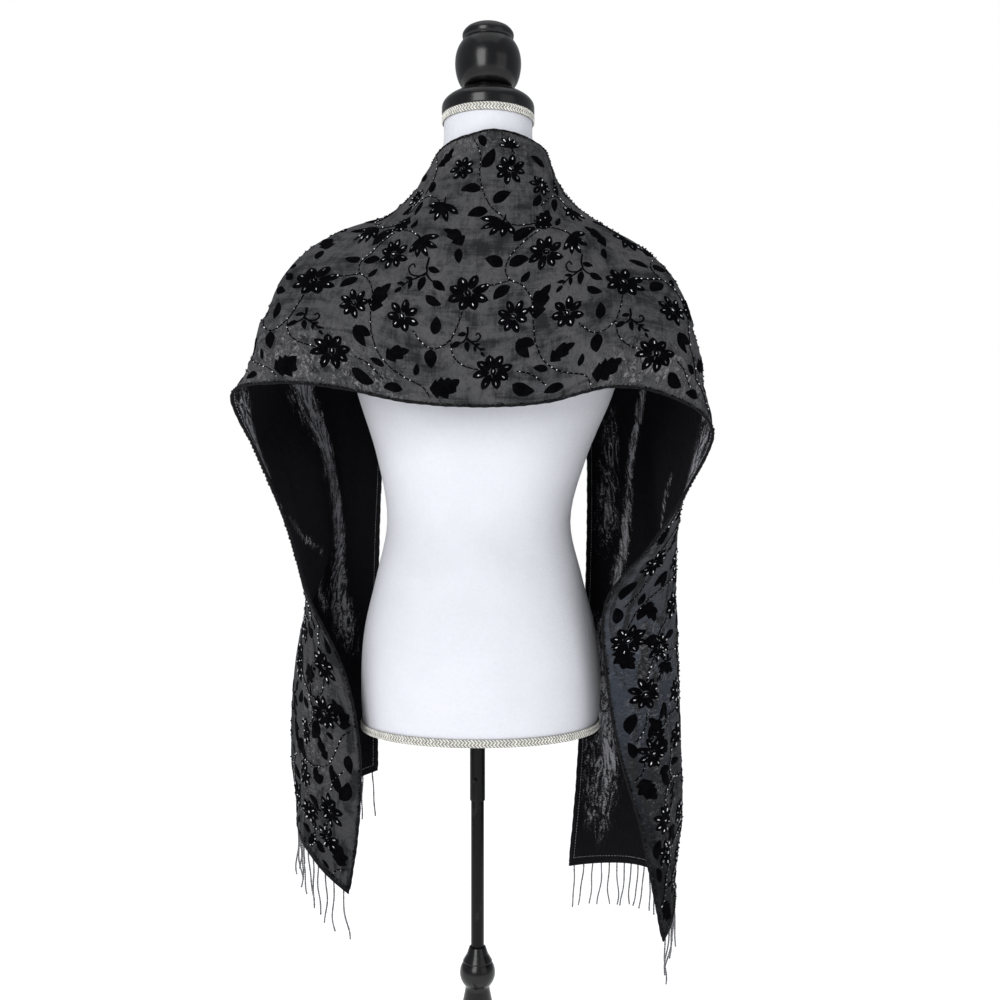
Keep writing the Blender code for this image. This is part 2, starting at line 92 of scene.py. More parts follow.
# The side of one leg, as distances from the pole and heights: joint at the hub, top, toe and underside.
LEG_JOINT = (0.112, 0.186)
LEG_TOP = [
    (0.048, 0.184),
    (0.078, 0.166),
    (0.112, 0.128),
    (0.150, 0.082),
    (0.196, 0.047),
    (0.232, 0.033),
    (0.258, 0.026),
]
LEG_TOE = 0.016
LEG_UNDER = [(0.230, 0.0), (0.212, 0.010), (0.176, 0.022), (0.128, 0.052), (0.090, 0.088), (0.062, 0.108)]

# Hem, braid and fringe
HEM_INSIDE = 0.0006  # from the cloth's edge to the middle of the rolled hem
HEM_BEADS_INSIDE = 0.0014
EDGE_BEAD_LENGTH = 0.0030
EDGE_BEAD_WIDTH = 0.0022
STITCHES_INSIDE = 0.0042
STITCH_WIDTH = 0.0006
PLAIT_WIDTH = 0.0015
PLAIT_PITCH = 0.74  # against a plait's length
PLAIT_LEAN = 0.85  # its rise against its run
FRINGE_PITCH = 0.72  # against a fringe bead's length

# How each kind of bead is made. Unevenness is how far their sizes differ, from a fixed seed.
BEAD_COLUMNS = ("Sides", "Rings", "Unevenness", "Seed")
BEADS = {
    "petal": (8, 6, 0.12, 3),
    "vine": (6, 5, 0.22, 5),
    "edge": (6, 5, 0.35, 7),
    "stitch": (6, 5, 0.10, 11),
    "strand": (6, 5, 0.08, 13),
    "plait": (7, 6, 0.06, 17),
}

# How finely pieces are divided
FORM_RINGS = 110
FORM_SIDES = 128
BRAID_SIDES = 96
TURNED_SIDES = 72
HEM_SIDES = 8
EDGE_STEPS_ALONG = 420
EDGE_STEPS_ACROSS = 70
HEADER_STEPS = 68
STRAND_STEPS = 13

# The threads' colours and the ground's tints
DARK_THREAD = (0.008, 0.008, 0.009)
GREY_THREAD = (0.30, 0.30, 0.32)
WARMER = (1.15, 1.10, 1.08)  # the ground's warmer patches against its own colour
# Painted shade: the right end's ground darker and bluer than its own colour.
RIGHT_END_SHADE_TINT = (0.56, 0.64, 0.78)  # the ground on the right end against its own colour

# Camera and the photograph's frame
CAMERA_PLACE = (0.0254, -1.30, 0.885)
LENS = 41.4
SENSOR = 36.0
HORIZON_SHIFT = -0.01

# The soft lights: name, place, what each is turned to, width and height, and the setting of its power.
LIGHTS = [
    ("key", (-0.80, -1.95, 1.72), (0.0, 0.0, 1.12), (1.00, 1.50), "key_power"),
    ("fill", (1.9, -1.7, 1.5), (0.0, 0.0, 0.95), (1.6, 1.6), "fill_power"),
    ("top", (0.0, -0.2, 2.9), (0.0, 0.0, 1.0), (1.8, 1.8), "fill_power"),
]

# One row for each level section of the form. Its squareness is 2 for an oval, and more for squarer corners.
FORM_COLUMNS = ("z", "centre_x", "half_width", "front", "back", "squareness")
FORM_SECTIONS = [
    (0.6194, 0.003, 0.1315, 0.112, 0.116, 2.1),
    (0.666, 0.004, 0.1345, 0.110, 0.119, 2.1),
    (0.728, 0.003, 0.1300, 0.103, 0.115, 2.1),
    (0.789, 0.002, 0.1155, 0.093, 0.100, 2.1),
    (0.848, 0.0015, 0.1033, 0.083, 0.082, 2.1),
    (0.922, 0.005, 0.1180, 0.100, 0.090, 2.1),
    (0.997, 0.009, 0.1450, 0.123, 0.103, 2.1),
    (1.040, 0.010, 0.1560, 0.128, 0.109, 2.1),
    (1.090, 0.011, 0.1630, 0.118, 0.112, 2.1),
    (1.130, 0.011, 0.1660, 0.100, 0.109, 2.1),
    (1.148, 0.012, 0.1620, 0.088, 0.101, 2.1),
    (1.1614, 0.012, 0.1500, 0.077, 0.090, 2.1),
    (1.1764, 0.012, 0.1265, 0.066, 0.079, 2.0),
    (1.187, 0.012, 0.1105, 0.061, 0.073, 2.0),
    (1.2005, 0.012, 0.0935, 0.056, 0.067, 2.0),
    (1.2165, 0.012, 0.0785, 0.053, 0.062, 2.0),
    (1.2344, 0.012, 0.0680, 0.050, 0.058, 2.0),
    (1.250, 0.012, 0.0580, 0.049, 0.055, 2.0),
    (1.270, 0.012, 0.0515, 0.049, 0.053, 2.0),
    (1.3066, 0.012, 0.0500, 0.050, 0.052, 2.0),
]

# One row for each section across the cloth. Its four points run from the neck edge to the hem edge.
SHAWL_COLUMNS = ("along", "neck", "inner", "outer", "hem")
SHAWL_SECTIONS = [
    (-0.865, (-0.124, 0.1, 0.548), (-0.18, 0.112, 0.522), (-0.203, 0.005, 0.506), (-0.1356, -0.07, 0.457)),
    (-0.79, (-0.124, 0.101, 0.621), (-0.182, 0.114, 0.585), (-0.203, 0.004, 0.557), (-0.1262, -0.072, 0.521)),
    (-0.71, (-0.124, 0.102, 0.701), (-0.182, 0.116, 0.667), (-0.203, 0.002, 0.63), (-0.1235, -0.073, 0.6)),
    (-0.62, (-0.123, 0.102, 0.791), (-0.176, 0.118, 0.765), (-0.197, 0.002, 0.722), (-0.14, -0.072, 0.688)),
    (-0.53, (-0.12, 0.101, 0.881), (-0.16, 0.124, 0.853), (-0.197, 0.028, 0.811), (-0.18, -0.058, 0.767)),
    (-0.44, (-0.115, 0.098, 0.969), (-0.165, 0.126, 0.941), (-0.211, 0.026, 0.9), (-0.207, -0.055, 0.851)),
    (-0.36, (-0.105, 0.092, 1.05), (-0.17, 0.105, 1.036), (-0.235, 0.026, 0.985), (-0.236, -0.062, 0.924)),
    (-0.29, (-0.092, 0.078, 1.125), (-0.17, 0.067, 1.122), (-0.222, -0.004, 1.058), (-0.262, -0.07, 0.9845)),
    (-0.21, (-0.078, 0.046, 1.182), (-0.15, -0.004, 1.176), (-0.206, -0.064, 1.112), (-0.206, -0.117, 0.995)),
    (-0.14, (-0.054, 0.02, 1.236), (-0.094, -0.036, 1.176), (-0.134, -0.105, 1.095), (-0.137, -0.136, 0.988)),
    (-0.07, (-0.041, -0.022, 1.259), (-0.055, -0.078, 1.178), (-0.069, -0.122, 1.08), (-0.07, -0.141, 0.974)),
    (0.0, (0.014, -0.061, 1.273), (0.01, -0.096, 1.165), (0.004, -0.127, 1.067), (0.0, -0.143, 0.969)),
    (0.07, (0.068, -0.024, 1.268), (0.078, -0.078, 1.178), (0.078, -0.122, 1.083), (0.07, -0.141, 0.973)),
    (0.14, (0.085, 0.017, 1.246), (0.118, -0.034, 1.18), (0.146, -0.104, 1.098), (0.138, -0.136, 0.989)),
    (0.21, (0.101, 0.046, 1.182), (0.168, -0.004, 1.166), (0.213, -0.062, 1.106), (0.198, -0.117, 0.982)),
    (0.3, (0.116, 0.078, 1.112), (0.18, 0.068, 1.1), (0.231, 0.0, 1.04), (0.2532, -0.07, 0.945)),
    (0.37, (0.126, 0.092, 1.04), (0.182, 0.104, 1.015), (0.23, 0.026, 0.955), (0.2265, -0.07, 0.887)),
    (0.45, (0.131, 0.1, 0.96), (0.18, 0.122, 0.93), (0.227, 0.03, 0.88), (0.187, -0.081, 0.829)),
    (0.54, (0.132, 0.104, 0.87), (0.184, 0.118, 0.84), (0.226, 0.006, 0.795), (0.1366, -0.089, 0.766)),
    (0.63, (0.131, 0.106, 0.78), (0.184, 0.112, 0.75), (0.225, 0.002, 0.712), (0.138, -0.087, 0.685)),
    (0.72, (0.128, 0.106, 0.69), (0.184, 0.112, 0.662), (0.228, 0.0, 0.628), (0.1518, -0.082, 0.605)),
    (0.81, (0.123, 0.104, 0.6), (0.184, 0.114, 0.575), (0.23, -0.002, 0.545), (0.1745, -0.073, 0.527)),
    (0.88, (0.118, 0.102, 0.52), (0.184, 0.12, 0.5), (0.229, 0.006, 0.482), (0.1875, -0.066, 0.466)),
    (0.95, (0.11, 0.1, 0.432), (0.176, 0.118, 0.43), (0.223, 0.0, 0.432), (0.2001, -0.062, 0.403)),
]

# One row for each fold: where its line starts and ends along and across the cloth, how far its crest stands
# off the cloth and its half width. These folds are in the solids too.
FOLD_COLUMNS = ("along_a", "along_b", "across_a", "across_b", "depth", "half_width")
FOLDS = [
    (-0.31, -0.64, 0.16, 0.13, -0.006, 0.028),
    (-0.34, -0.66, 0.53, 0.46, -0.012, 0.036),
    (-0.52, -0.90, 0.40, 0.50, 0.008, 0.034),
    (-0.66, -0.90, 0.78, 0.80, -0.006, 0.028),
    (0.31, 0.64, 0.16, 0.13, -0.006, 0.028),
    (0.33, 0.62, 0.54, 0.48, -0.012, 0.036),
    (0.50, 0.98, 0.40, 0.48, 0.008, 0.034),
    (0.66, 0.98, 0.17, 0.18, -0.006, 0.028),
    (0.70, 0.98, 0.76, 0.81, -0.006, 0.028),
    (-0.12, -0.27, 0.98, 0.72, 0.005, 0.024),
    (-0.17, -0.29, 0.90, 0.55, -0.004, 0.022),
    (0.14, 0.28, 0.98, 0.74, 0.005, 0.024),
    (0.19, 0.31, 0.90, 0.56, -0.004, 0.022),
]

# Small creases that only the scene has, in the same way.
CREASES = [
    (0.10, 0.24, 0.99, 0.84, 0.0018, 0.007),
    (0.12, 0.27, 0.93, 0.76, -0.0015, 0.006),
    (0.13, 0.25, 0.86, 0.66, 0.0014, 0.007),
    (0.17, 0.30, 0.98, 0.90, 0.0016, 0.005),
    (0.20, 0.29, 0.80, 0.58, -0.0014, 0.006),
    (0.21, 0.31, 0.95, 0.80, -0.0015, 0.005),
    (0.24, 0.30, 0.74, 0.50, 0.0012, 0.006),
    (0.26, 0.34, 0.98, 0.86, 0.0014, 0.005),
    (-0.09, -0.22, 0.98, 0.88, 0.0016, 0.007),
    (-0.11, -0.25, 0.92, 0.79, -0.0013, 0.006),
    (-0.14, -0.27, 0.99, 0.93, -0.0014, 0.005),
    (-0.18, -0.28, 0.86, 0.68, 0.0012, 0.006),
    (-0.22, -0.30, 0.96, 0.82, 0.0015, 0.005),
    (-0.02, 0.09, 0.88, 0.93, 0.0008, 0.010),
    (-0.10, 0.02, 0.80, 0.86, -0.0007, 0.010),
    (0.03, 0.15, 0.30, 0.42, 0.0009, 0.012),
    (-0.14, -0.03, 0.36, 0.28, 0.0008, 0.012),
    (0.15, 0.24, 0.16, 0.40, -0.0014, 0.010),
    (-0.23, -0.14, 0.42, 0.17, -0.0012, 0.010),
    (0.36, 0.58, 0.70, 0.62, 0.0018, 0.010),
    (0.40, 0.66, 0.88, 0.92, -0.0016, 0.007),
    (0.46, 0.60, 0.97, 0.84, 0.0015, 0.006),
    (0.60, 0.86, 0.62, 0.66, -0.0018, 0.012),
    (0.66, 0.84, 0.93, 0.90, 0.0014, 0.007),
    (0.74, 0.94, 0.28, 0.34, 0.0016, 0.012),
    (0.82, 0.97, 0.90, 0.96, -0.0014, 0.006),
    (-0.38, -0.56, 0.72, 0.66, 0.0018, 0.010),
    (-0.42, -0.64, 0.90, 0.94, -0.0015, 0.007),
    (-0.50, -0.62, 0.98, 0.86, 0.0014, 0.006),
    (-0.58, -0.80, 0.64, 0.70, -0.0018, 0.012),
    (-0.66, -0.82, 0.94, 0.90, 0.0013, 0.007),
    (-0.70, -0.88, 0.30, 0.24, 0.0016, 0.012),
    (-0.44, -0.60, 0.30, 0.22, 0.0014, 0.010),
    (0.42, 0.60, 0.30, 0.24, 0.0014, 0.010),
    (-0.60, -0.86, 0.56, 0.50, 0.0026, 0.009),
    (-0.64, -0.87, 0.70, 0.62, -0.0030, 0.008),
    (-0.57, -0.80, 0.85, 0.76, 0.0028, 0.008),
    (-0.70, -0.87, 0.90, 0.86, -0.0024, 0.007),
    (-0.62, -0.74, 0.97, 0.90, 0.0022, 0.006),
    (0.56, 0.78, 0.91, 0.80, 0.0028, 0.008),
    (0.60, 0.84, 0.83, 0.72, -0.0030, 0.009),
    (0.70, 0.95, 0.70, 0.60, 0.0026, 0.010),
    (0.78, 0.95, 0.89, 0.80, -0.0026, 0.008),
    (0.54, 0.66, 0.98, 0.91, -0.0022, 0.006),
    (0.84, 0.96, 0.60, 0.52, -0.0024, 0.009),
    (-0.06, 0.05, 0.06, 0.11, 0.0016, 0.008),
    (0.03, 0.13, 0.14, 0.25, -0.0018, 0.009),
    (-0.13, -0.03, 0.23, 0.10, -0.0016, 0.009),
    (0.10, 0.21, 0.44, 0.62, 0.0016, 0.011),
    (-0.20, -0.10, 0.62, 0.46, 0.0016, 0.011),
    (-0.05, 0.07, 0.63, 0.57, 0.0012, 0.012),
]

# Where the lining's nap lies over and shines, painted as grey sheen, as lines on the cloth with a strength
# for a depth.
SHEEN_STREAKS = [
    (-0.22, -0.58, 0.530, 0.290, 1.0, 0.023),
    (-0.47, -0.74, 0.360, 0.060, 0.8, 0.019),
    (-0.22, -0.58, 0.430, 0.200, -1.2, 0.011),
    (-0.47, -0.82, 0.270, -0.120, -1.2, 0.011),
    (-0.44, -0.56, 0.960, 0.440, 0.8, 0.0055),
    (-0.54, -0.66, 0.480, 0.240, 0.8, 0.005),
    (-0.27, -0.42, 0.950, 0.920, 0.8, 0.014),
    (-0.70, -0.82, 0.420, 0.340, 0.35, 0.010),
    (0.22, 0.54, 0.430, 0.170, 1.1, 0.0055),
    (0.44, 0.80, 0.250, 0.010, 1.0, 0.007),
    (0.38, 0.62, 0.140, 0.050, 0.6, 0.014),
    (0.27, 0.42, 0.900, 0.960, 0.7, 0.020),
    (0.40, 0.52, 0.640, 0.500, 0.8, 0.003),
    (0.50, 0.62, 0.520, 0.330, 0.9, 0.008),
    (0.64, 0.96, 0.090, 0.115, 0.66, 0.024),
    (0.66, 0.75, 0.020, 0.250, 0.7, 0.008),
    (0.71, 0.80, 0.020, 0.230, 0.7, 0.009),
    (0.77, 0.87, 0.030, 0.200, 0.6, 0.008),
]

# Where the face is puckered, with a painted brown highlight and painted shade in its crinkles, as lines in
# the same way.
PUCKERS = [
    (-0.04, -0.29, 0.99, 0.86, 1.2, 0.024),
    (-0.12, -0.30, 0.90, 0.92, 0.8, 0.026),
    (0.09, 0.31, 0.99, 0.84, 1.2, 0.026),
    (0.50, 0.92, 0.84, 0.80, 0.7, 0.040),
    (-0.58, -0.86, 0.84, 0.72, 0.6, 0.036),
    (0.08, 0.28, 0.12, 0.40, 0.6, 0.030),
    (-0.10, 0.08, 0.03, 0.06, 0.6, 0.022),
]

# The pattern's chart for one repeat, in millimetres along and across the cloth and degrees of turn.
FLOWER_COLUMNS = ("along", "across", "turn", "radius", "petals", "spread")
FLOWERS = [
    (13, 147, 60, 19, 8, 360),
    (36, 216, 20, 17, 7, 360),
    (98, 187, 200, 21, 8, 360),
    (127, 267, 30, 19, 8, 360),
    (143, 213, 70, 17, 8, 360),
    (44, 129, 60, 22, 5, 130),
    (129, 108, 125, 24, 5, 130),
    (135, 46, 10, 18, 8, 360),
    (80, 42, 80, 15, 7, 360),
    (64, 84, 110, 22, 5, 140),
    (136, 20, 260, 14, 5, 150),
    (12, 62, 30, 15, 7, 360),
]

# The same chart's leaves.
LEAF_COLUMNS = ("along", "across", "turn", "length", "width", "bend", "teeth")
LEAVES = [
    (12, 200, 292, 38, 18, -0.10, 2),
    (69, 222, 275, 19, 10, 0.05, 0),
    (67, 256, 88, 19, 12, 0.05, 0),
    (-4, 242, 190, 19, 10, 0.10, 0),
    (34, 256, 332, 26, 15, -0.08, 2),
    (13, 268, 195, 15, 7, 0.05, 0),
    (52, 268, 280, 12, 6, 0.05, 0),
    (80, 280, 340, 31, 20, 0.10, 3),
    (30, 108, 305, 14, 7, 0.05, 0),
    (78, 127, 225, 30, 15, 0.10, 2),
    (87, 148, 85, 15, 8, 0.05, 0),
    (152, 126, 325, 30, 13, -0.10, 0),
    (121, 155, 205, 19, 11, 0.10, 0),
    (146, 156, 345, 20, 11, -0.10, 0),
    (131, 188, 140, 20, 11, 0.10, 0),
    (153, 172, 305, 14, 7, 0.05, 0),
    (10, 106, 300, 28, 21, 0.10, 3),
    (109, 33, 305, 25, 13, 0.10, 0),
    (91, 70, 185, 22, 11, 0.15, 0),
    (127, 80, 325, 22, 12, -0.10, 0),
    (101, 98, 170, 22, 12, 0.10, 0),
    (164, 82, 300, 18, 9, 0.10, 0),
    (40, 56, 250, 22, 11, 0.10, 0),
    (56, 18, 320, 27, 14, 0.10, 2),
    (10, 30, 205, 22, 11, 0.10, 0),
    (30, 86, 110, 20, 10, 0.10, 0),
    (156, 246, 60, 23, 11, 0.10, 0),
    (66, 196, 30, 18, 9, 0.10, 0),
    (158, 284, 20, 24, 12, 0.10, 0),
    (28, 290, 175, 20, 9, 0.10, 0),
    (100, 12, 240, 18, 9, 0.10, 0),
]

# Flowers and leaves that only the ends have, in millimetres along from the centre of the back.
END_FLOWERS = [
    (-676, 262, 40, 18, 8, 360),
    (-811, 227, 50, 17, 7, 360),
    (-822, 266, 15, 17, 8, 360),
    (590, 279, 20, 18, 8, 360),
    (608, 243, 65, 18, 8, 360),
    (729, 268, 30, 19, 8, 360),
    (858, 268, 10, 18, 7, 360),
]
END_LEAVES = [
    (-646, 236, 250, 30, 15, 0.10, 2),
    (-700, 244, 205, 26, 13, -0.08, 0),
    (-745, 276, 150, 28, 14, 0.10, 0),
    (-792, 236, 290, 24, 12, 0.10, 0),
    (-846, 236, 20, 26, 14, 0.08, 2),
    (-728, 182, 320, 22, 11, 0.10, 0),
    (560, 262, 40, 24, 12, 0.10, 0),
    (640, 232, 300, 28, 14, -0.08, 2),
    (700, 262, 160, 30, 15, 0.10, 2),
    (768, 252, 330, 26, 13, 0.10, 0),
    (838, 244, 280, 24, 12, 0.08, 0),
    (906, 250, 20, 28, 14, 0.10, 2),
]

# The vines of one repeat, as lines on the chart. Some run on into the next repeat.
VINES = [
    [(90, 6), (100, 27), (100, 50), (105, 71), (115, 90), (129, 103), (138, 112), (158, 112), (176, 104)],
    [(48, 230), (60, 243), (72, 245), (84, 236), (90, 222), (94, 206)],
    [(84, 236), (88, 252), (98, 261), (112, 265)],
    [(166, 122), (142, 143), (133, 160), (138, 174), (150, 181), (160, 196), (163, 220), (166, 240)],
    [(6, 240), (14, 258), (27, 270), (41, 277), (58, 284), (66, 294)],
    [(114, 180), (126, 178), (138, 175)],
    [(40, 126), (26, 119), (10, 118), (-8, 122)],
    [(62, 84), (50, 74), (36, 71), (22, 77), (8, 90)],
    [(36, 4), (44, 26), (40, 46), (34, 66)],
    [(150, 268), (164, 272), (180, 284)],
]

# The sprigs of one repeat: where each is rooted, its turn and size, and 1 or -1 for the side it curls to.
SPRIG_COLUMNS = ("along", "across", "turn", "size", "hand")
SPRIGS = [
    (57, 150, 94, 50, 1),
    (100, 222, 92, 33, -1),
]

# One sprig of size 1 that grows along its first number: its stems, and its leaves with turn, length, width.
SPRIG_STEMS = [
    [(0, 0), (0.2, 0.02), (0.36, 0), (0.44, 0.14), (0.42, 0.32), (0.28, 0.4), (0.18, 0.32), (0.26, 0.26)],
    [(0.34, 0.0), (0.46, 0.14), (0.58, 0.32), (0.72, 0.46)],
    [(0.36, 0.0), (0.46, -0.08), (0.54, -0.20)],
]
SPRIG_LEAVES = [
    (0.25, -0.14, 285, 0.26, 0.14),
    (0.58, -0.30, 305, 0.32, 0.17),
    (0.60, 0.05, 10, 0.34, 0.15),
    (0.52, 0.34, 95, 0.18, 0.08),
    (0.66, 0.28, 5, 0.20, 0.09),
    (0.66, 0.50, 80, 0.18, 0.08),
    (0.82, 0.52, 40, 0.20, 0.09),
]


def colour_setting(name, description, default):
    """A colour that a user may change."""
    return bpy.props.FloatVectorProperty(
        name=name, description=description, default=default, size=3, subtype="COLOR"
    )


def length_setting(name, description, default):
    """A length in metres that a user may change."""
    return bpy.props.FloatProperty(name=name, description=description, default=default, unit="LENGTH")


def power_setting(name, description, default):
    """A lamp's power in watts that a user may change."""
    return bpy.props.FloatProperty(name=name, description=description, default=default, unit="POWER")


class ShawlCloth(bpy.types.PropertyGroup):
    """The cloth's colours, its pile, its hem and its stitches."""

    ground_colour: colour_setting(
        "Ground colour", "Colour of the burnt-out ground between the flowers", (0.069, 0.0705, 0.0745)
    )
    pile_colour: colour_setting(
        "Pile colour", "Colour of the velvet flowers and leaves", (0.0012, 0.0012, 0.0017)
    )
    pile_height: length_setting("Pile height", "How far the velvet stands off the ground", 0.0006)
    lining_colour: colour_setting(
        "Lining colour", "Colour of the crushed velvet where its nap stands up", (0.0052, 0.0049, 0.0068)
    )
    # Painted sheen: the lining's colour where its nap lies over and shines.
    sheen_colour: colour_setting(
        "Nap colour", "Colour of the crushed velvet where its nap lies over", (0.36, 0.36, 0.385)
    )
    hem_radius: length_setting("Hem radius", "Radius of the rolled hem", 0.0017)
    stitch_length: length_setting("Stitch length", "Length of one stitch of the topstitching", 0.0026)


class ShawlBeads(bpy.types.PropertyGroup):
    """Sizes and spacing of the beads."""

    petal_length: length_setting("Petal bead length", "Length of the long bead on each petal", 0.0037)
    petal_width: length_setting("Petal bead width", "Width of the long bead on each petal", 0.0016)
    vine_size: length_setting("Vine bead size", "Diameter of the round beads along the vines", 0.0017)
    vine_pitch: length_setting("Vine bead pitch", "Distance between beads along a vine", 0.0062)
    edge_pitch: length_setting("Edge bead pitch", "Distance between beads along the hem", 0.0048)
    fringe_length: length_setting("Fringe bead length", "Length of one long bead of the fringe", 0.0034)
    fringe_width: length_setting("Fringe bead width", "Width of one long bead of the fringe", 0.0021)
    bead_colour: colour_setting(
        "Bead colour", "Colour of the metal lining of the glass beads", (0.42, 0.42, 0.44)
    )


class ShawlForm(bpy.types.PropertyGroup):
    """The dress form's cover and braid, and the stand's lacquer."""

    jersey_colour: colour_setting("Jersey colour", "Colour of the stretched cover", (0.665, 0.672, 0.720))
    braid_colour: colour_setting(
        "Braid colour", "Colour of the braid round the neck and hem", (0.78, 0.77, 0.71)
    )
    plait_length: length_setting("Plait length", "Length of one plait of the braid", 0.0050)
    lacquer_colour: colour_setting(
        "Lacquer colour", "Colour of the lacquered wood", (0.0035, 0.0035, 0.0038)
    )


class ShawlStage(bpy.types.PropertyGroup):
    """The floor and the light."""

    floor_colour: colour_setting("Floor colour", "Colour of the floor", (0.95, 0.95, 0.95))
    key_power: power_setting("Key power", "Power of the tall soft window light", 34.0)
    fill_power: power_setting("Fill power", "Power of the wide fill light", 6.0)


def rows(columns, table):
    """The table's rows as dictionaries, by the names of its columns."""
    return [dict(zip(columns, row)) for row in table]


def smooth_read(knots, values, at):
    """The values read at each place by a smooth curve through the knots, straight on past its ends."""
    knots = np.asarray(knots, float)
    values = np.asarray(values, float)
    at = np.asarray(at, float)
    slopes = np.gradient(values, knots, axis=0)
    cell = np.clip(np.searchsorted(knots, at, side="right") - 1, 0, len(knots) - 2)
    width = knots[cell + 1] - knots[cell]
    t = np.clip((at - knots[cell]) / width, 0, 1)
    past = at - knots[cell] - t * width
    if values.ndim > 1:
        t, width, past = t[..., None], width[..., None], past[..., None]
    start = values[cell] * (1 + 2 * t) * (1 - t) ** 2 + slopes[cell] * width * t * (1 - t) ** 2
    end = values[cell + 1] * t**2 * (3 - 2 * t) + slopes[cell + 1] * width * t**2 * (t - 1)
    beyond = past * np.where(past > 0, slopes[-1], slopes[0])
    return start + end + beyond


def through_points(corners, v):
    """Each section's smooth curve through its four points, at v from 0 at the neck edge to 1 at the hem."""
    spans = np.linalg.norm(np.diff(corners, axis=1), axis=-1)
    places = np.concatenate([np.zeros((len(corners), 1)), np.cumsum(spans, axis=1)], axis=1)
    places = (places / places[:, -1:])[:, None, :]
    at = np.asarray(v)[None, :]
    curve = 0
    for i in range(4):
        here = places[..., i]
        others = [places[..., j] for j in range(4) if j != i]
        weight = np.prod([(at - other) / (here - other) for other in others], axis=0)
        curve = curve + weight[..., None] * corners[:, i, None, :]
    return curve


def form_size(z):
    """The form's centre, half width, depths and squareness at each height, as columns."""
    sections = rows(FORM_COLUMNS, FORM_SECTIONS)
    sizes = [[section[name] for name in FORM_COLUMNS[1:]] for section in sections]
    return smooth_read([section["z"] for section in sections], sizes, z)


def form_point(angle, z, out=0.0):
    """The form's surface at a height and a plan angle from +X, moved out level by a distance."""
    centre, half, front, back, square = np.moveaxis(form_size(z), -1, 0)
    cos, sin = np.cos(angle), np.sin(angle)
    depth = np.where(sin > 0, front, back) + out
    x = centre + (half + out) * np.sign(cos) * np.abs(cos) ** (2 / square)
    y = depth * np.sign(sin) * np.abs(sin) ** (2 / square)
    return np.stack([x, y, z + 0 * x], axis=-1)


def form_level(points):
    """1 on the form's surface, less inside it and more outside it."""
    centre, half, front, back, square = np.moveaxis(form_size(points[..., 2]), -1, 0)
    depth = np.where(points[..., 1] > 0, front, back)
    x = np.abs(points[..., 0] - centre) / half
    y = np.abs(points[..., 1]) / depth
    return (x**square + y**square) ** (1 / square)


def push_off_form(points, clear):
    """The points, with those nearer the form than clear moved straight out of it."""
    step = 1e-4
    for _ in range(6):
        level = form_level(points)
        slope = np.stack(
            [form_level(points + step * axis) - form_level(points - step * axis) for axis in np.eye(3)],
            axis=-1,
        ) / (2 * step)
        steep = np.linalg.norm(slope, axis=-1)
        short = np.maximum(clear - (level - 1) / steep, 0)
        points = points + (short / steep)[..., None] * slope
    return points


def grid_normals(points):
    """Unit normals of a grid of points toward the cloth's face side."""
    normal = np.cross(np.gradient(points, axis=1), np.gradient(points, axis=0))
    return normal / np.linalg.norm(normal, axis=-1, keepdims=True)


def cloth_sections():
    """Where the sections are along the cloth, and the four points of each."""
    sections = rows(SHAWL_COLUMNS, SHAWL_SECTIONS)
    corners = [[section[name] for name in SHAWL_COLUMNS[1:]] for section in sections]
    return [section["along"] for section in sections], np.array(corners)


@functools.lru_cache(maxsize=None)
def cloth_width():
    """The usual length of the sections across the cloth."""
    _, corners = cloth_sections()
    return float(np.linalg.norm(np.diff(corners, axis=1), axis=-1).sum(axis=1).mean())


def line_height(table, u, v):
    """How high the soft lines of a table stand at u along the cloth and v across it."""
    height = np.zeros_like(u)
    for fold in rows(FOLD_COLUMNS, table):
        t = (u - fold["along_a"]) / (fold["along_b"] - fold["along_a"])
        line = fold["across_a"] + t * (fold["across_b"] - fold["across_a"])
        side = (v - line) * cloth_width() / fold["half_width"]
        fade = np.clip(3 * t, 0, 1) * np.clip(3 * (1 - t), 0, 1)
        fade = fade * fade * (3 - 2 * fade)
        height += fold["depth"] * fade * np.exp(-(side**2))
    return height


@functools.lru_cache(maxsize=None)
def cloth_grid():
    """Places along and across the cloth, and the points and normals of its middle on that fine grid."""
    u = np.linspace(LEFT_END, RIGHT_END, round((RIGHT_END - LEFT_END) / CLOTH_CELL) + 1)
    v = np.linspace(0, 1, round(cloth_width() / CLOTH_CELL) + 1)
    along, corners = cloth_sections()
    at_u = smooth_read(along, corners.reshape(len(along), -1), u)
    plain = through_points(at_u.reshape(len(u), 4, 3), v)
    uu, vv = np.meshgrid(u, v, indexing="ij")
    folded = plain + line_height(FOLDS, uu, vv)[..., None] * grid_normals(plain)
    creased = folded + line_height(CREASES, uu, vv)[..., None] * grid_normals(folded)
    points = push_off_form(creased, CLOTH_OFF_FORM)
    return u, v, points, grid_normals(points)


def read_grid(grid, along, across):
    """A grid's values read between its points, at u along the cloth and v across it."""
    u, v, _, _ = cloth_grid()
    i = np.clip((along - u[0]) / (u[1] - u[0]), 0, len(u) - 1.001)
    j = np.clip((across - v[0]) / (v[1] - v[0]), 0, len(v) - 1.001)
    a, b = i.astype(int), j.astype(int)
    s, t = (i - a)[..., None], (j - b)[..., None]
    near = grid[a, b] * (1 - t) + grid[a, b + 1] * t
    far = grid[a + 1, b] * (1 - t) + grid[a + 1, b + 1] * t
    return near * (1 - s) + far * s


def on_cloth(along, across, out):
    """Points at u along the cloth and v across it, moved out from its middle toward the face side."""
    _, _, points, normals = cloth_grid()
    normal = read_grid(normals, along, across)
    return read_grid(points, along, across) + np.asarray(out)[..., None] * normal


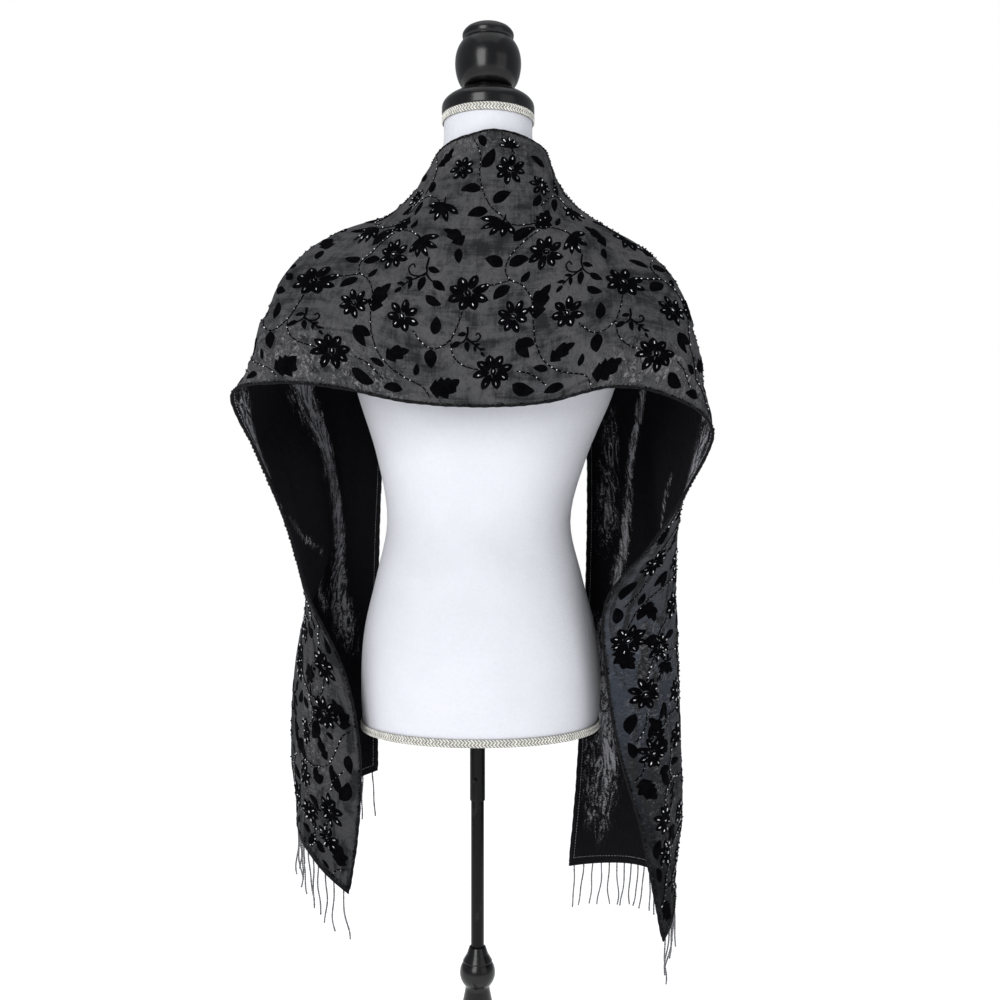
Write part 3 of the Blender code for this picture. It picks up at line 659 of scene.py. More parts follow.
class Value:
    """A number socket of a node tree. An expression on it adds the Math nodes that it needs."""

    def __init__(self, tree, socket):
        self.tree = tree
        self.socket = socket

    def maths(self, operation, *numbers):
        made = self.tree.node("ShaderNodeMath", {"operation": operation}, dict(enumerate(numbers)))
        return Value(self.tree, made.outputs[0])

    def __add__(self, other):
        return self.maths("ADD", self, other)

    def __sub__(self, other):
        return self.maths("SUBTRACT", self, other)

    def __rsub__(self, other):
        return self.maths("SUBTRACT", other, self)

    def __mul__(self, other):
        return self.maths("MULTIPLY", self, other)

    def __abs__(self):
        return self.maths("ABSOLUTE", self)

    def sine(self):
        return self.maths("SINE", self)

    def larger(self, other):
        return self.maths("MAXIMUM", self, other)

    def ramp(self, low, high):
        """0 below low, 1 above high and smooth between."""
        made = self.tree.node(
            "ShaderNodeMapRange",
            {"interpolation_type": "SMOOTHSTEP"},
            {"Value": self, "From Min": low, "From Max": high},
        )
        return Value(self.tree, made.outputs["Result"])


class Tree:
    """A node tree, with one method that adds any node."""

    def __init__(self, tree):
        self.tree = tree

    def node(self, kind, settings=None, sockets=None):
        """Adds a node, makes its settings and then sets or links its sockets."""
        made = self.tree.nodes.new(kind)
        for name, value in (settings or {}).items():
            setattr(made, name, value)
        for name, value in (sockets or {}).items():
            self.put(made.inputs[name], value)
        return made

    def put(self, socket, value):
        if isinstance(value, Value):
            self.tree.links.new(value.socket, socket)
        elif isinstance(value, bpy.types.NodeSocket):
            self.tree.links.new(value, socket)
        else:
            socket.default_value = value


class Finish(Tree):
    """A material with one Principled BSDF, whose tree is built from expressions."""

    def __init__(self, name, **constants):
        self.material = bpy.data.materials.new(name)
        self.material.use_nodes = True
        super().__init__(self.material.node_tree)
        self.tree.nodes.clear()
        self.shader = self.node("ShaderNodeBsdfPrincipled")
        self.node("ShaderNodeOutputMaterial", None, {"Surface": self.shader.outputs[0]})
        for socket, value in constants.items():
            self.shader.inputs[socket.replace("_", " ")].default_value = value

    def cloth_place(self, stretch=(1.0, 1.0, 1.0)):
        """Places along and across a piece in metres, from its own UV map, times a stretch."""
        place = self.node("ShaderNodeUVMap", {"uv_map": "cut"})
        made = self.node("ShaderNodeMapping", None, {"Vector": place.outputs["UV"], "Scale": stretch})
        return made.outputs["Vector"]

    def object_place(self, stretch=(1.0, 1.0, 1.0)):
        """Object coordinates times a stretch."""
        place = self.node("ShaderNodeTexCoord")
        made = self.node("ShaderNodeMapping", None, {"Vector": place.outputs["Object"], "Scale": stretch})
        return made.outputs["Vector"]

    def parts(self, vector):
        """The x and y of a vector as values."""
        made = self.node("ShaderNodeSeparateXYZ", None, {0: vector})
        return Value(self, made.outputs["X"]), Value(self, made.outputs["Y"])

    def noise(self, vector, scale, detail=2.0, roughness=0.5, distortion=0.0):
        sockets = {
            "Vector": vector,
            "Scale": scale,
            "Detail": detail,
            "Roughness": roughness,
            "Distortion": distortion,
        }
        return Value(self, self.node("ShaderNodeTexNoise", None, sockets).outputs[0])

    def mix(self, factor, first, second):
        """A colour between two others."""
        made = self.node("ShaderNodeMix", {"data_type": "RGBA"})
        self.put(made.inputs[0], factor)
        self.put(made.inputs[6], first)
        self.put(made.inputs[7], second)
        return made.outputs[2]

    def bump(self, height, distance, strength=1.0):
        sockets = {"Height": height, "Distance": distance, "Strength": strength}
        self.put(self.shader.inputs["Normal"], self.node("ShaderNodeBump", None, sockets).outputs["Normal"])

    def set(self, **sockets):
        """Links or sets sockets of the shader, with _ for the spaces of their names."""
        for name, value in sockets.items():
            self.put(self.shader.inputs[name.replace("_", " ")], value)
        return self.material


def shade(colour, times=1.0):
    """A colour with its alpha, made lighter or darker."""
    return (*(min(1.0, part * times) for part in colour), 1.0)


def ground_finish(colour):
    """The burnt-out ground: a fine crinkled gauze, cloudy over the lining, darker toward its ends with
    painted shade, with painted shade in its folds and crinkles and a painted brown highlight on its puckers.
    """
    finish = Finish("devore_ground", Sheen_Weight=0.008, Sheen_Roughness=0.35, Specular_IOR_Level=0.045)
    place = finish.cloth_place()
    x, y = finish.parts(place)
    pucker = Value(finish, finish.node("ShaderNodeAttribute", {"attribute_name": "pucker"}).outputs["Fac"])
    thread = 2 * math.pi / 0.0009
    weave = abs((x * thread).sine()) * 0.5 + abs((y * thread).sine()) * 0.5
    cloud = finish.noise(place, 17.0, 4.0, 0.65, 0.6)
    blotch = finish.noise(finish.cloth_place((1.0, 0.6, 1.0)), 62.0, 3.0, 0.6, 0.8)
    slub = finish.noise(finish.cloth_place((26.0, 700.0, 1.0)), 1.0, 2.0)
    warp = finish.noise(finish.cloth_place((620.0, 18.0, 1.0)), 1.0, 2.0)
    crinkle = finish.noise(finish.cloth_place((1.0, 0.7, 1.0)), 85.0, 4.0, 0.62, 1.4)
    net = finish.noise(finish.cloth_place((1.0, 0.8, 1.0)), 260.0, 3.0, 0.7, 1.2)
    tone = cloud * 0.40 + blotch * 0.34 + slub * 0.14 + warp * 0.12
    warm = shade(tuple(part * times for part, times in zip(colour, WARMER)))
    right_end_shade = shade(tuple(part * times for part, times in zip(colour, RIGHT_END_SHADE_TINT)))
    middle = finish.mix(cloud.ramp(0.44, 0.60), shade(colour), warm)
    # Painted shade: the left end darkened, the right end darker and bluer, and its lower tip near black.
    left_end_shaded = finish.mix((x * -1).ramp(0.40, 0.60) * 0.38, middle, shade(colour, 0.25))
    ends_shaded = finish.mix(x.ramp(0.36, 0.66), left_end_shaded, right_end_shade)
    low = finish.mix(x.ramp(0.62, 0.86) * 0.92, ends_shaded, shade(colour, 0.05))
    # Soft folds painted as light and shade, stronger on the ends, over the ground's random cloudy tone.
    fold = finish.noise(finish.cloth_place((0.35, 1.6, 1.0)), 26.0, 3.0, 0.6, 1.6)
    tone_and_fold_shade = (tone + (fold - 0.5) * (abs(x).ramp(0.40, 0.60) * 1.1 + 0.35)).ramp(0.38, 0.55)
    base = finish.mix(tone_and_fold_shade, shade(colour, 0.27), low)
    # Painted shade: the crinkles' creases darkened, more where the face is puckered.
    crinkle_shade = 1 - abs(crinkle - 0.5).ramp(0.0, 0.030)
    crinkle_shaded = finish.mix(crinkle_shade * (pucker * 0.45 + 0.40), base, shade(colour, 0.12))
    # Painted highlight: light brown on the puckers' crinkles, where they would catch the light.
    pucker_highlight = shade(tuple(part * times * 2.7 for part, times in zip(colour, WARMER)))
    pucker_highlighted = finish.mix(pucker * net.ramp(0.48, 0.60) * crinkle.ramp(0.42, 0.56) * 0.8, crinkle_shaded, pucker_highlight)
    relief = crinkle * (pucker * 1.2 + 0.8) + net * pucker * 0.4 + cloud * 0.6
    finish.bump(weave * 0.05 + slub * 0.08 + relief, 0.0050, 0.9)
    return finish.set(Base_Color=pucker_highlighted, Roughness=cloud * 0.25 + 0.50)


def pile_finish(colour):
    """The velvet flowers: deep black pile with a faint sheen."""
    finish = Finish("velvet_pile", Sheen_Weight=0.006, Sheen_Roughness=0.3, Specular_IOR_Level=0.012)
    finish.shader.inputs["Sheen Tint"].default_value = (0.55, 0.55, 0.62, 1.0)
    place = finish.cloth_place()
    nap = finish.noise(place, 420.0, 2.0, 0.6)
    patch = finish.noise(place, 90.0, 2.0)
    base = finish.mix((nap * 0.5 + patch * 0.5).ramp(0.35, 0.72), shade(colour, 0.6), shade(colour, 2.4))
    finish.bump(nap, 0.0004, 0.6)
    return finish.set(Base_Color=base, Roughness=nap * 0.2 + 0.75)


def lining_finish(colour, sheen_colour):
    """Crushed velvet: near black, with a painted grey sheen in streaks and patches where its nap lies over.
    """
    finish = Finish("crushed_velvet", Specular_IOR_Level=0.08)
    sheen_streak = Value(finish, finish.node("ShaderNodeAttribute", {"attribute_name": "nap"}).outputs["Fac"])
    crush = finish.noise(finish.cloth_place((0.55, 1.5, 1.0)), 70.0, 6.0, 0.68, 1.8)
    grain = finish.noise(finish.cloth_place((1.6, 0.7, 1.0)), 420.0, 4.0, 0.75, 0.6)
    broad = finish.noise(finish.cloth_place((0.6, 1.4, 1.0)), 15.0, 3.0, 0.6, 0.8)
    ragged = sheen_streak * 0.86 + (crush - 0.5) * 2.6 + (grain - 0.5) * 2.0
    ragged = ragged.ramp(0.28, 0.95) * (crush.ramp(0.44, 0.56) * 0.65 + 0.35)
    # Painted sheen: grey along the streaks and in stray patches, where the nap lies over and shines.
    sheen_mask = ragged * sheen_streak.ramp(0.03, 0.30) * (grain * 1.9 + 0.05)
    stray_sheen = (crush * 0.6 + grain * 0.4).ramp(0.58, 0.72) * broad.ramp(0.52, 0.64) * 0.12
    base = finish.mix(sheen_mask.larger(stray_sheen), shade(colour), shade(sheen_colour))
    finish.bump(crush * 1.0 + grain * 0.3 + broad * 1.4, 0.0030, 0.7)
    return finish.set(Base_Color=base, Roughness=0.75 - sheen_mask * 0.25)


def bead_finish(colour):
    """Silver-lined dark glass beads, bright only here and there."""
    finish = Finish("silver_lined_bead", Metallic=0.85, Coat_Weight=1.0, Coat_Roughness=0.04)
    tone = finish.noise(finish.object_place(), 150.0, 1.0)
    base = finish.mix(tone.ramp(0.50, 0.62), shade(colour, 0.04), shade(colour, 1.3))
    return finish.set(Base_Color=base, Roughness=tone * 0.18 + 0.08)


def jet_finish(name, colour, bright):
    """Jet black glass with a metal lining that shines through where it is bright."""
    finish = Finish(
        name,
        Coat_Weight=bright,
        Coat_Roughness=0.03,
        Metallic=0.7 * bright,
        Specular_IOR_Level=0.5 * bright,
    )
    tone = finish.noise(finish.object_place(), 120.0, 1.0)
    base = finish.mix(tone.ramp(0.40, 0.62), shade(colour, 0.05 * bright), shade(colour, 1.25 * bright))
    return finish.set(Base_Color=base, Roughness=tone * 0.12 + 0.06)


def fringe_finish(colour):
    """The fringe's small dark beads, some lighter than others."""
    finish = Finish("fringe_bead", Metallic=0.3, Coat_Weight=0.4, Coat_Roughness=0.1)
    tone = finish.noise(finish.object_place(), 600.0, 1.0)
    base = finish.mix(tone.ramp(0.35, 0.7), shade(colour, 0.10), shade(colour, 0.42))
    return finish.set(Base_Color=base, Roughness=tone * 0.2 + 0.12)


def thread_finish(name, colour, roughness=0.7, sheen=0.3):
    """Spun thread with a fine twist."""
    finish = Finish(name, Sheen_Weight=sheen, Sheen_Roughness=0.4, Specular_IOR_Level=sheen)
    place = finish.object_place()
    fibre = finish.noise(place, 1400.0, 2.0, 0.6)
    tone = finish.noise(place, 160.0, 2.0)
    mixed = (fibre * 0.5 + tone * 0.5).ramp(0.35, 0.68)
    base = finish.mix(mixed, shade(colour, 0.72), shade(colour, 1.15))
    finish.bump(fibre, 0.0003, 0.8)
    return finish.set(Base_Color=base, Roughness=roughness)


def jersey_finish(colour):
    """Fine white jersey stretched over the form, with a few dark specks of lint."""
    finish = Finish("form_jersey", Sheen_Weight=0.2, Sheen_Roughness=0.5, Specular_IOR_Level=0.3)
    place = finish.cloth_place()
    x, y = finish.parts(place)
    wale = (x * (2 * math.pi / 0.0016)).sine()
    course = (y * (2 * math.pi / 0.0014) + abs(wale) * 2.2).sine()
    knit = abs(wale) * 0.6 + course * 0.4
    cloud = finish.noise(place, 16.0, 3.0, 0.6)
    speck = finish.noise(place, 520.0, 1.0).ramp(0.74, 0.80)
    fuzz = finish.noise(place, 240.0, 3.0, 0.7)
    tone = (cloud * 0.5 + fuzz * 0.5).ramp(0.3, 0.7)
    cover = finish.mix(tone, shade(colour, 0.955), shade(colour, 1.03))
    base = finish.mix(speck * 0.35, cover, shade(colour, 0.45))
    finish.bump(knit * 0.5 + fuzz * 0.9, 0.00022, 0.8)
    return finish.set(Base_Color=base, Roughness=fuzz * 0.15 + 0.78)


def lacquer_finish(colour):
    """Gloss black lacquer on turned wood, with faint grain, haze and wear."""
    finish = Finish("black_lacquer", Coat_Weight=0.05, Coat_Roughness=0.05, Specular_IOR_Level=0.29)
    grain = finish.noise(finish.object_place((1.0, 1.0, 0.12)), 300.0, 3.0, 0.6)
    haze = finish.noise(finish.object_place(), 34.0, 3.0, 0.6)
    base = finish.mix((haze * 0.6 + grain * 0.4).ramp(0.4, 0.75), shade(colour), shade(colour, 2.0))
    finish.bump(grain * 0.5 + haze, 0.0002, 0.5)
    return finish.set(Base_Color=base, Roughness=haze * 0.22 + 0.12)


def metal_finish():
    """Satin black paint on the steel pole and its socket."""
    finish = Finish("black_steel", Specular_IOR_Level=0.11, Coat_Weight=0.02, Coat_Roughness=0.15)
    brushed = finish.noise(finish.object_place((1.0, 1.0, 0.04)), 900.0, 2.0)
    scuff = finish.noise(finish.object_place((1.0, 1.0, 0.5)), 60.0, 4.0, 0.7).ramp(0.55, 0.75)
    base = finish.mix(scuff, (0.0035, 0.0035, 0.004, 1.0), (0.015, 0.0145, 0.014, 1.0))
    finish.bump(brushed, 0.0002, 0.4)
    return finish.set(Base_Color=base, Roughness=brushed * 0.2 + 0.26)


def grid_faces(lines, columns, first=0, flip=False):
    """The corner numbers of each cell of a grid of points that is numbered line by line."""
    i, j = np.meshgrid(np.arange(lines - 1), np.arange(columns - 1), indexing="ij")
    a = first + (i * columns + j).ravel()
    faces = np.stack([a, a + 1, a + columns + 1, a + columns], axis=1)
    return (faces[:, ::-1] if flip else faces).tolist()


def round_angles(count):
    """Even angles once round."""
    return np.linspace(0, 2 * math.pi, count, endpoint=False)


def loft_faces(numbers, joined=False):
    """The faces between rings of point numbers, and from the last ring to the first if joined."""
    if joined:
        numbers = np.concatenate([numbers, numbers[:1]])
    beside = np.roll(numbers, -1, axis=1)
    return np.stack([numbers[:-1], beside[:-1], beside[1:], numbers[1:]], axis=-1).reshape(-1, 4).tolist()


def new_piece(name, points, faces, material, cut=None):
    """A piece from its points and faces. cut is each point's place on the flat cloth, for its UV map."""
    mesh = bpy.data.meshes.new(name)
    mesh.from_pydata(np.asarray(points).reshape(-1, 3).tolist(), [], faces)
    if cut is not None:
        corner = np.empty(len(mesh.loops), dtype=np.int32)
        mesh.loops.foreach_get("vertex_index", corner)
        layer = mesh.uv_layers.new(name="cut")
        layer.data.foreach_set("uv", np.asarray(cut, dtype=np.float32)[corner].ravel())
    if material:
        mesh.materials.append(material)
    mesh.shade_smooth()
    piece = bpy.data.objects.new(name, mesh)
    bpy.context.scene.collection.objects.link(piece)
    return piece


def settle(piece):
    """Leaves a piece as the plain mesh that its modifiers make."""
    graph = bpy.context.evaluated_depsgraph_get()
    shown = piece.evaluated_get(graph)
    mesh = bpy.data.meshes.new_from_object(shown, preserve_all_data_layers=True, depsgraph=graph)
    piece.modifiers.clear()
    old = piece.data
    piece.data = mesh
    bpy.data.meshes.remove(old)
    return piece


def in_body(piece, slot, *nodes):
    """Puts a piece in the one rigid body and hides the solids that it stands for. Its slot is not used."""
    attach(piece, "root")
    if nodes:
        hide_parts(*nodes)
    return piece


def rim_of(grid):
    """The numbers of the points round the edge of a grid of numbers, in order."""
    return [*grid[0, :-1], *grid[:-1, -1], *grid[-1, :0:-1], *grid[:0:-1, 0]]


def cloth_sheet(name, near, far, material, mark, marks):
    """One sheet of the cloth, a thin closed wall between two distances from its middle, with soft marks."""
    u, v, points, normals = cloth_grid()
    sheets = np.stack([points + far * normals, points + near * normals])
    numbers = np.arange(2 * len(u) * len(v)).reshape(2, len(u), len(v))
    faces = grid_faces(len(u), len(v)) + grid_faces(len(u), len(v), len(u) * len(v), flip=True)
    top, under = rim_of(numbers[0]), rim_of(numbers[1])
    for i in range(len(top)):
        k = (i + 1) % len(top)
        faces.append([int(top[k]), int(top[i]), int(under[i]), int(under[k])])
    uu, vv = np.meshgrid(u, v * cloth_width(), indexing="ij")
    cut = np.stack([uu, vv], axis=-1).reshape(-1, 2)
    piece = new_piece(name, sheets, faces, material, np.concatenate([cut, cut]))
    strength = np.clip(line_height(marks, *np.meshgrid(u, v, indexing="ij")), 0, 1).ravel()
    layer = piece.data.attributes.new(mark, "FLOAT", "POINT")
    layer.data.foreach_set("value", np.concatenate([strength, strength]).astype(np.float32))
    return piece


def ribbon(path, half_widths):
    """A soft raised strip of the chart: five points across each place on its path, and their rise."""
    path = np.asarray(path, float)
    half = np.asarray(half_widths)[:, None]
    run = np.gradient(path, axis=0)
    run /= np.linalg.norm(run, axis=1, keepdims=True) + 1e-9
    side = np.stack([-run[:, 1], run[:, 0]], axis=1)
    across = np.array([-1.0, -0.75, 0.0, 0.75, 1.0])
    rise = np.array([-0.1, 0.85, 1.0, 0.85, -0.1])
    points = path[:, None, :] + (across * half)[..., None] * side[:, None, :]
    return points, rise * np.clip(half / 0.5, 0, 1)


def turned(points, degrees, place):
    """Chart points turned about the chart's zero and moved to a place."""
    angle = math.radians(degrees)
    spin = np.array([[math.cos(angle), math.sin(angle)], [-math.sin(angle), math.cos(angle)]])
    return np.asarray(points) @ spin + np.asarray(place, float)


def petal_strip(flower, number):
    """One petal of a flower, plump and pointed, with its bead's place and turn."""
    whole = flower["spread"] == 360
    share = number / flower["petals"] if whole else number / (flower["petals"] - 1) - 0.5
    turn = flower["turn"] + share * flower["spread"]
    uneven = math.sin(5.1 * number + flower["turn"])
    reach = flower["radius"] * (1.0 + 0.10 * uneven)
    t = np.linspace(0, 1, 8)
    start = 0.20 if whole else 0.06
    path = np.stack([reach * (start + (1 - start) * t), 0.06 * reach * uneven * np.sin(math.pi * t)], axis=1)
    gap = math.radians(flower["spread"] / (flower["petals"] - (0 if whole else 1)))
    widest = 0.66 * flower["radius"] * math.sin(gap / 2) * (0.97 - 0.07 * uneven)
    half = widest * np.sin(math.pi * (0.05 + 0.95 * t) ** 1.05) ** 0.62
    half[-1] = 0.02
    place = (flower["along"], flower["across"])
    return turned(path, turn, place), half, turned([(reach * 0.68, 0.0)], turn, place)[0], turn


def leaf_strip(along, across, turn, length, width, bend=0.1, teeth=0):
    """One leaf: bent along its middle, wide near its root, with teeth where it has them."""
    t = np.linspace(0, 1, 16 if teeth else 9)
    path = np.stack([length * (t - 0.5), bend * length * np.sin(math.pi * t)], axis=1)
    half = 0.54 * width * np.sin(math.pi * t**0.8) ** 0.75
    if teeth:
        half = half * (0.66 + 0.50 * np.mod(t * (teeth + 0.6) + 0.15, 1.0))
    half[0] = 0.05 * width
    half[-1] = 0.02
    return turned(path, turn, (along, across)), half


def smooth_line(stops, finer):
    """A smooth line through stops, with some points to each stretch."""
    knots = np.arange(len(stops))
    return smooth_read(knots, stops, np.linspace(0, len(stops) - 1, (len(stops) - 1) * finer + 1))


def sprig_strips(sprig):
    """A stem that ends in a curl, with small leaves beside it."""
    hand = np.array([sprig["size"], sprig["size"] * sprig["hand"]])
    place = (sprig["along"], sprig["across"])
    strips = []
    for stem in SPRIG_STEMS:
        line = smooth_line(stem, 4)
        strips.append((line * hand, np.linspace(1.15, 0.8, len(line))))
    for along, across, turn, length, width in SPRIG_LEAVES:
        size = sprig["size"]
        middle = np.array([along, across]) * hand
        strips.append(leaf_strip(*middle, turn * sprig["hand"], length * size, width * size, 0.04))
    return [(turned(path, sprig["turn"], place), half) for path, half in strips]


@functools.lru_cache(maxsize=None)
def repeat_shifts():
    """How far along the cloth each repeat of the chart lies, in millimetres."""
    first = math.floor(LEFT_END / REPEAT) - 1
    last = math.ceil(RIGHT_END / REPEAT) + 1
    return [1000 * (REPEAT_START + REPEAT * n) for n in range(first, last)]


def vine_paths():
    """Each vine as a smooth line in every repeat, in chart millimetres."""
    lines = [smooth_line(vine, 7) for vine in VINES]
    return [line + (shift, 0) for shift in repeat_shifts() for line in lines]


def add_flower(flower, strips, beads):
    """Adds a flower's petals with its eye or its short stem, and a bead for each petal."""
    place = (flower["along"], flower["across"])
    for number in range(flower["petals"]):
        path, half, bead, turn = petal_strip(flower, number)
        strips.append((path, half))
        beads.append((*bead, turn))
    if flower["spread"] < 360:
        strips.append((turned([(2, 0), (-4, 1), (-8, 3)], flower["turn"], place), [1.8, 1.0, 0.7]))
        return
    t = np.linspace(-1, 1, 7)
    eye = turned(np.stack([t * 0.22 * flower["radius"], 0 * t], axis=1), flower["turn"] * 3, place)
    strips.append((eye, 0.15 * flower["radius"] * np.sqrt(1.001 - t**2)))
    beads.append((*place, flower["turn"] * 3))


def chart():
    """Every strip of the pattern and every petal bead, in chart millimetres over the whole cloth."""
    strips = [leaf_strip(**leaf) for leaf in rows(LEAF_COLUMNS, LEAVES)]
    beads = []
    for flower in rows(FLOWER_COLUMNS, FLOWERS):
        add_flower(flower, strips, beads)
    for sprig in rows(SPRIG_COLUMNS, SPRIGS):
        strips += sprig_strips(sprig)
    moved = [(np.asarray(path) + (shift, 0), half) for shift in repeat_shifts() for path, half in strips]
    moved += [(path, np.full(len(path), 0.72)) for path in vine_paths()]
    moved += [leaf_strip(**leaf) for leaf in rows(LEAF_COLUMNS, END_LEAVES)]
    placed = [(a + shift, c, turn) for shift in repeat_shifts() for a, c, turn in beads]
    for flower in rows(FLOWER_COLUMNS, END_FLOWERS):
        add_flower(flower, moved, placed)
    return moved, placed


def held_in_hem(along, across):
    """Places along and across the cloth, with those past the hem moved back to it."""
    edge = EDGE_MARGIN / cloth_width()
    return np.clip(along, LEFT_END + EDGE_MARGIN, RIGHT_END - EDGE_MARGIN), np.clip(across, edge, 1 - edge)


def inside_hem(along, across):
    """True where a place along and across the cloth lies inside its hem."""
    near_along, near_across = held_in_hem(along, across)
    return (near_along == along) & (near_across == across)


def add_pile(settings):
    """The velvet flowers, leaves, sprigs and vines, raised a little off the ground."""
    points = []
    faces = []
    cut = []
    count = 0
    strips, _ = chart()
    for path, half in strips:
        places, rise = ribbon(path, half)
        along = places[..., 0] / 1000
        across = places[..., 1] / CHART_WIDTH
        keep = inside_hem(along, across).any(axis=1)
        along, across = held_in_hem(along, across)
        for stretch in np.split(np.arange(len(keep)), np.flatnonzero(np.diff(keep.astype(int))) + 1):
            if len(stretch) < 2 or not keep[stretch[0]]:
                continue
            out = FACE_OUT + settings.pile_height * rise[stretch]
            points.append(on_cloth(along[stretch], across[stretch], out).reshape(-1, 3))
            flat = np.stack([along[stretch], across[stretch] * cloth_width()], axis=-1)
            cut.append(flat.reshape(-1, 2))
            faces += grid_faces(len(stretch), 5, count)
            count += len(stretch) * 5
    material = pile_finish(settings.pile_colour)
    piece = new_piece("velvet_pile", np.concatenate(points), faces, material, np.concatenate(cut))
    return in_body(piece, "shawl_devore")


def bead_tree(name, material):
    """A Geometry Nodes group that strings a bead on each point, along the point's own run."""
    group = bpy.data.node_groups.new(name, "GeometryNodeTree")
    for label, kind in (
        ("Points", "NodeSocketGeometry"),
        ("Length", "NodeSocketFloat"),
        ("Width", "NodeSocketFloat"),
        ("Sides", "NodeSocketInt"),
        ("Rings", "NodeSocketInt"),
        ("Unevenness", "NodeSocketFloat"),
        ("Seed", "NodeSocketInt"),
    ):
        group.interface.new_socket(name=label, in_out="INPUT", socket_type=kind)
    group.interface.new_socket(name="Beads", in_out="OUTPUT", socket_type="NodeSocketGeometry")
    tree = Tree(group)
    given = tree.node("NodeGroupInput").outputs
    ball = tree.node(
        "GeometryNodeMeshUVSphere",
        None,
        {"Segments": given["Sides"], "Rings": given["Rings"], "Radius": 0.5},
    )
    width, length = given["Width"], given["Length"]
    size = tree.node("ShaderNodeCombineXYZ", None, {0: width, 1: width, 2: length}).outputs[0]
    shaped = tree.node("GeometryNodeTransform", None, {"Geometry": ball.outputs[0], "Scale": size})
    run = tree.node("GeometryNodeInputNamedAttribute", {"data_type": "FLOAT_VECTOR"}, {"Name": "run"})
    lie = tree.node("FunctionNodeAlignRotationToVector", {"axis": "Z"}, {"Vector": run.outputs["Attribute"]})
    low = tree.node("ShaderNodeMath", {"operation": "SUBTRACT"}, {0: 1.0, 1: given["Unevenness"]})
    high = tree.node("ShaderNodeMath", {"operation": "ADD"}, {0: 1.0, 1: given["Unevenness"]})
    uneven = tree.node("FunctionNodeRandomValue", {"data_type": "FLOAT"})
    tree.put(uneven.inputs[2], low.outputs[0])
    tree.put(uneven.inputs[3], high.outputs[0])
    tree.put(uneven.inputs["Seed"], given["Seed"])
    strung = tree.node(
        "GeometryNodeInstanceOnPoints",
        None,
        {
            "Points": given["Points"],
            "Instance": shaped.outputs[0],
            "Rotation": lie.outputs[0],
            "Scale": uneven.outputs[1],
        },
    )
    real = tree.node("GeometryNodeRealizeInstances", None, {0: strung.outputs[0]})
    smooth = tree.node("GeometryNodeSetShadeSmooth", None, {0: real.outputs[0]})
    shown = {"Geometry": smooth.outputs[0], "Material": material}
    dressed = tree.node("GeometryNodeSetMaterial", None, shown)
    tree.node("NodeGroupOutput", None, {0: dressed.outputs[0]})
    return group


def string_beads(name, places, runs, material, slot, kind, length, width):
    """One piece of many beads, from their places and the directions that they lie in."""
    inputs = {"Length": length, "Width": width, **dict(zip(BEAD_COLUMNS, BEADS[kind]))}
    piece = new_piece(name, places, [], None)
    layer = piece.data.attributes.new("run", "FLOAT_VECTOR", "POINT")
    layer.data.foreach_set("vector", np.asarray(runs, dtype=np.float32).ravel())
    group = bead_tree(name + "_tree", material)
    modifier = piece.modifiers.new("beads", "NODES")
    modifier.node_group = group
    for item in group.interface.items_tree:
        if item.in_out == "INPUT" and item.name in inputs:
            modifier[item.identifier] = inputs[item.name]
    settle(piece)
    return in_body(piece, slot)


def evenly(path, pitch):
    """Points at an even pitch along a line of points, and the line's direction at each."""
    path = np.asarray(path, float)
    far = np.concatenate([[0], np.cumsum(np.linalg.norm(np.diff(path, axis=0), axis=1))])
    at = np.arange(pitch / 2, far[-1], pitch)
    places = np.stack([np.interp(at, far, column) for column in path.T], axis=1)
    ahead = np.stack([np.interp(at + pitch / 4, far, column) for column in path.T], axis=1)
    behind = np.stack([np.interp(at - pitch / 4, far, column) for column in path.T], axis=1)
    return places, ahead - behind


def add_petal_beads(settings, pile_height, material):
    """A long bead on each petal."""
    _, beads = chart()
    along, across, turn = np.array(beads).T
    run = np.radians(turn)
    u, v = along / 1000, across / CHART_WIDTH
    keep = inside_hem(u, v)
    out = np.full(keep.sum(), FACE_OUT + pile_height + settings.petal_width * 0.25)
    u, v, run = u[keep], v[keep], run[keep]
    reach = 0.001
    places = on_cloth(u, v, out)
    ahead = on_cloth(u + reach * np.cos(run), v + reach * np.sin(run) / cloth_width(), out)
    return string_beads(
        "petal_beads",
        places,
        ahead - places,
        material,
        "shawl_devore",
        "petal",
        settings.petal_length,
        settings.petal_width,
    )


def add_vine_beads(settings, pile_height, material):
    """Round silver beads along every vine."""
    places = []
    runs = []
    for path in vine_paths():
        stops, _ = evenly(path / 1000, settings.vine_pitch)
        u, v = stops[:, 0], stops[:, 1] * 1000 / CHART_WIDTH
        keep = inside_hem(u, v)
        if keep.sum() < 2:
            continue
        out = np.full(keep.sum(), FACE_OUT + pile_height + settings.vine_size * 0.3)
        on = on_cloth(u[keep], v[keep], out)
        places.append(on)
        runs.append(np.gradient(on, axis=0))
    return string_beads(
        "vine_beads",
        np.concatenate(places),
        np.concatenate(runs),
        material,
        "shawl_devore",
        "vine",
        settings.vine_size * 1.25,
        settings.vine_size,
    )


def edge_line(inside, out):
    """The line round the cloth at a distance inside its edge, moved out from the cloth's middle."""
    step = inside / cloth_width()
    start, end = LEFT_END + inside, RIGHT_END - inside
    u = np.linspace(start, end, EDGE_STEPS_ALONG)
    v = np.linspace(step, 1 - step, EDGE_STEPS_ACROSS)
    along = np.concatenate([u, np.full(len(v), end), u[::-1], np.full(len(v), start)])
    across = np.concatenate([np.full(len(u), step), v, np.full(len(u), 1 - step), v[::-1]])
    return on_cloth(along, across, np.full(len(along), out))


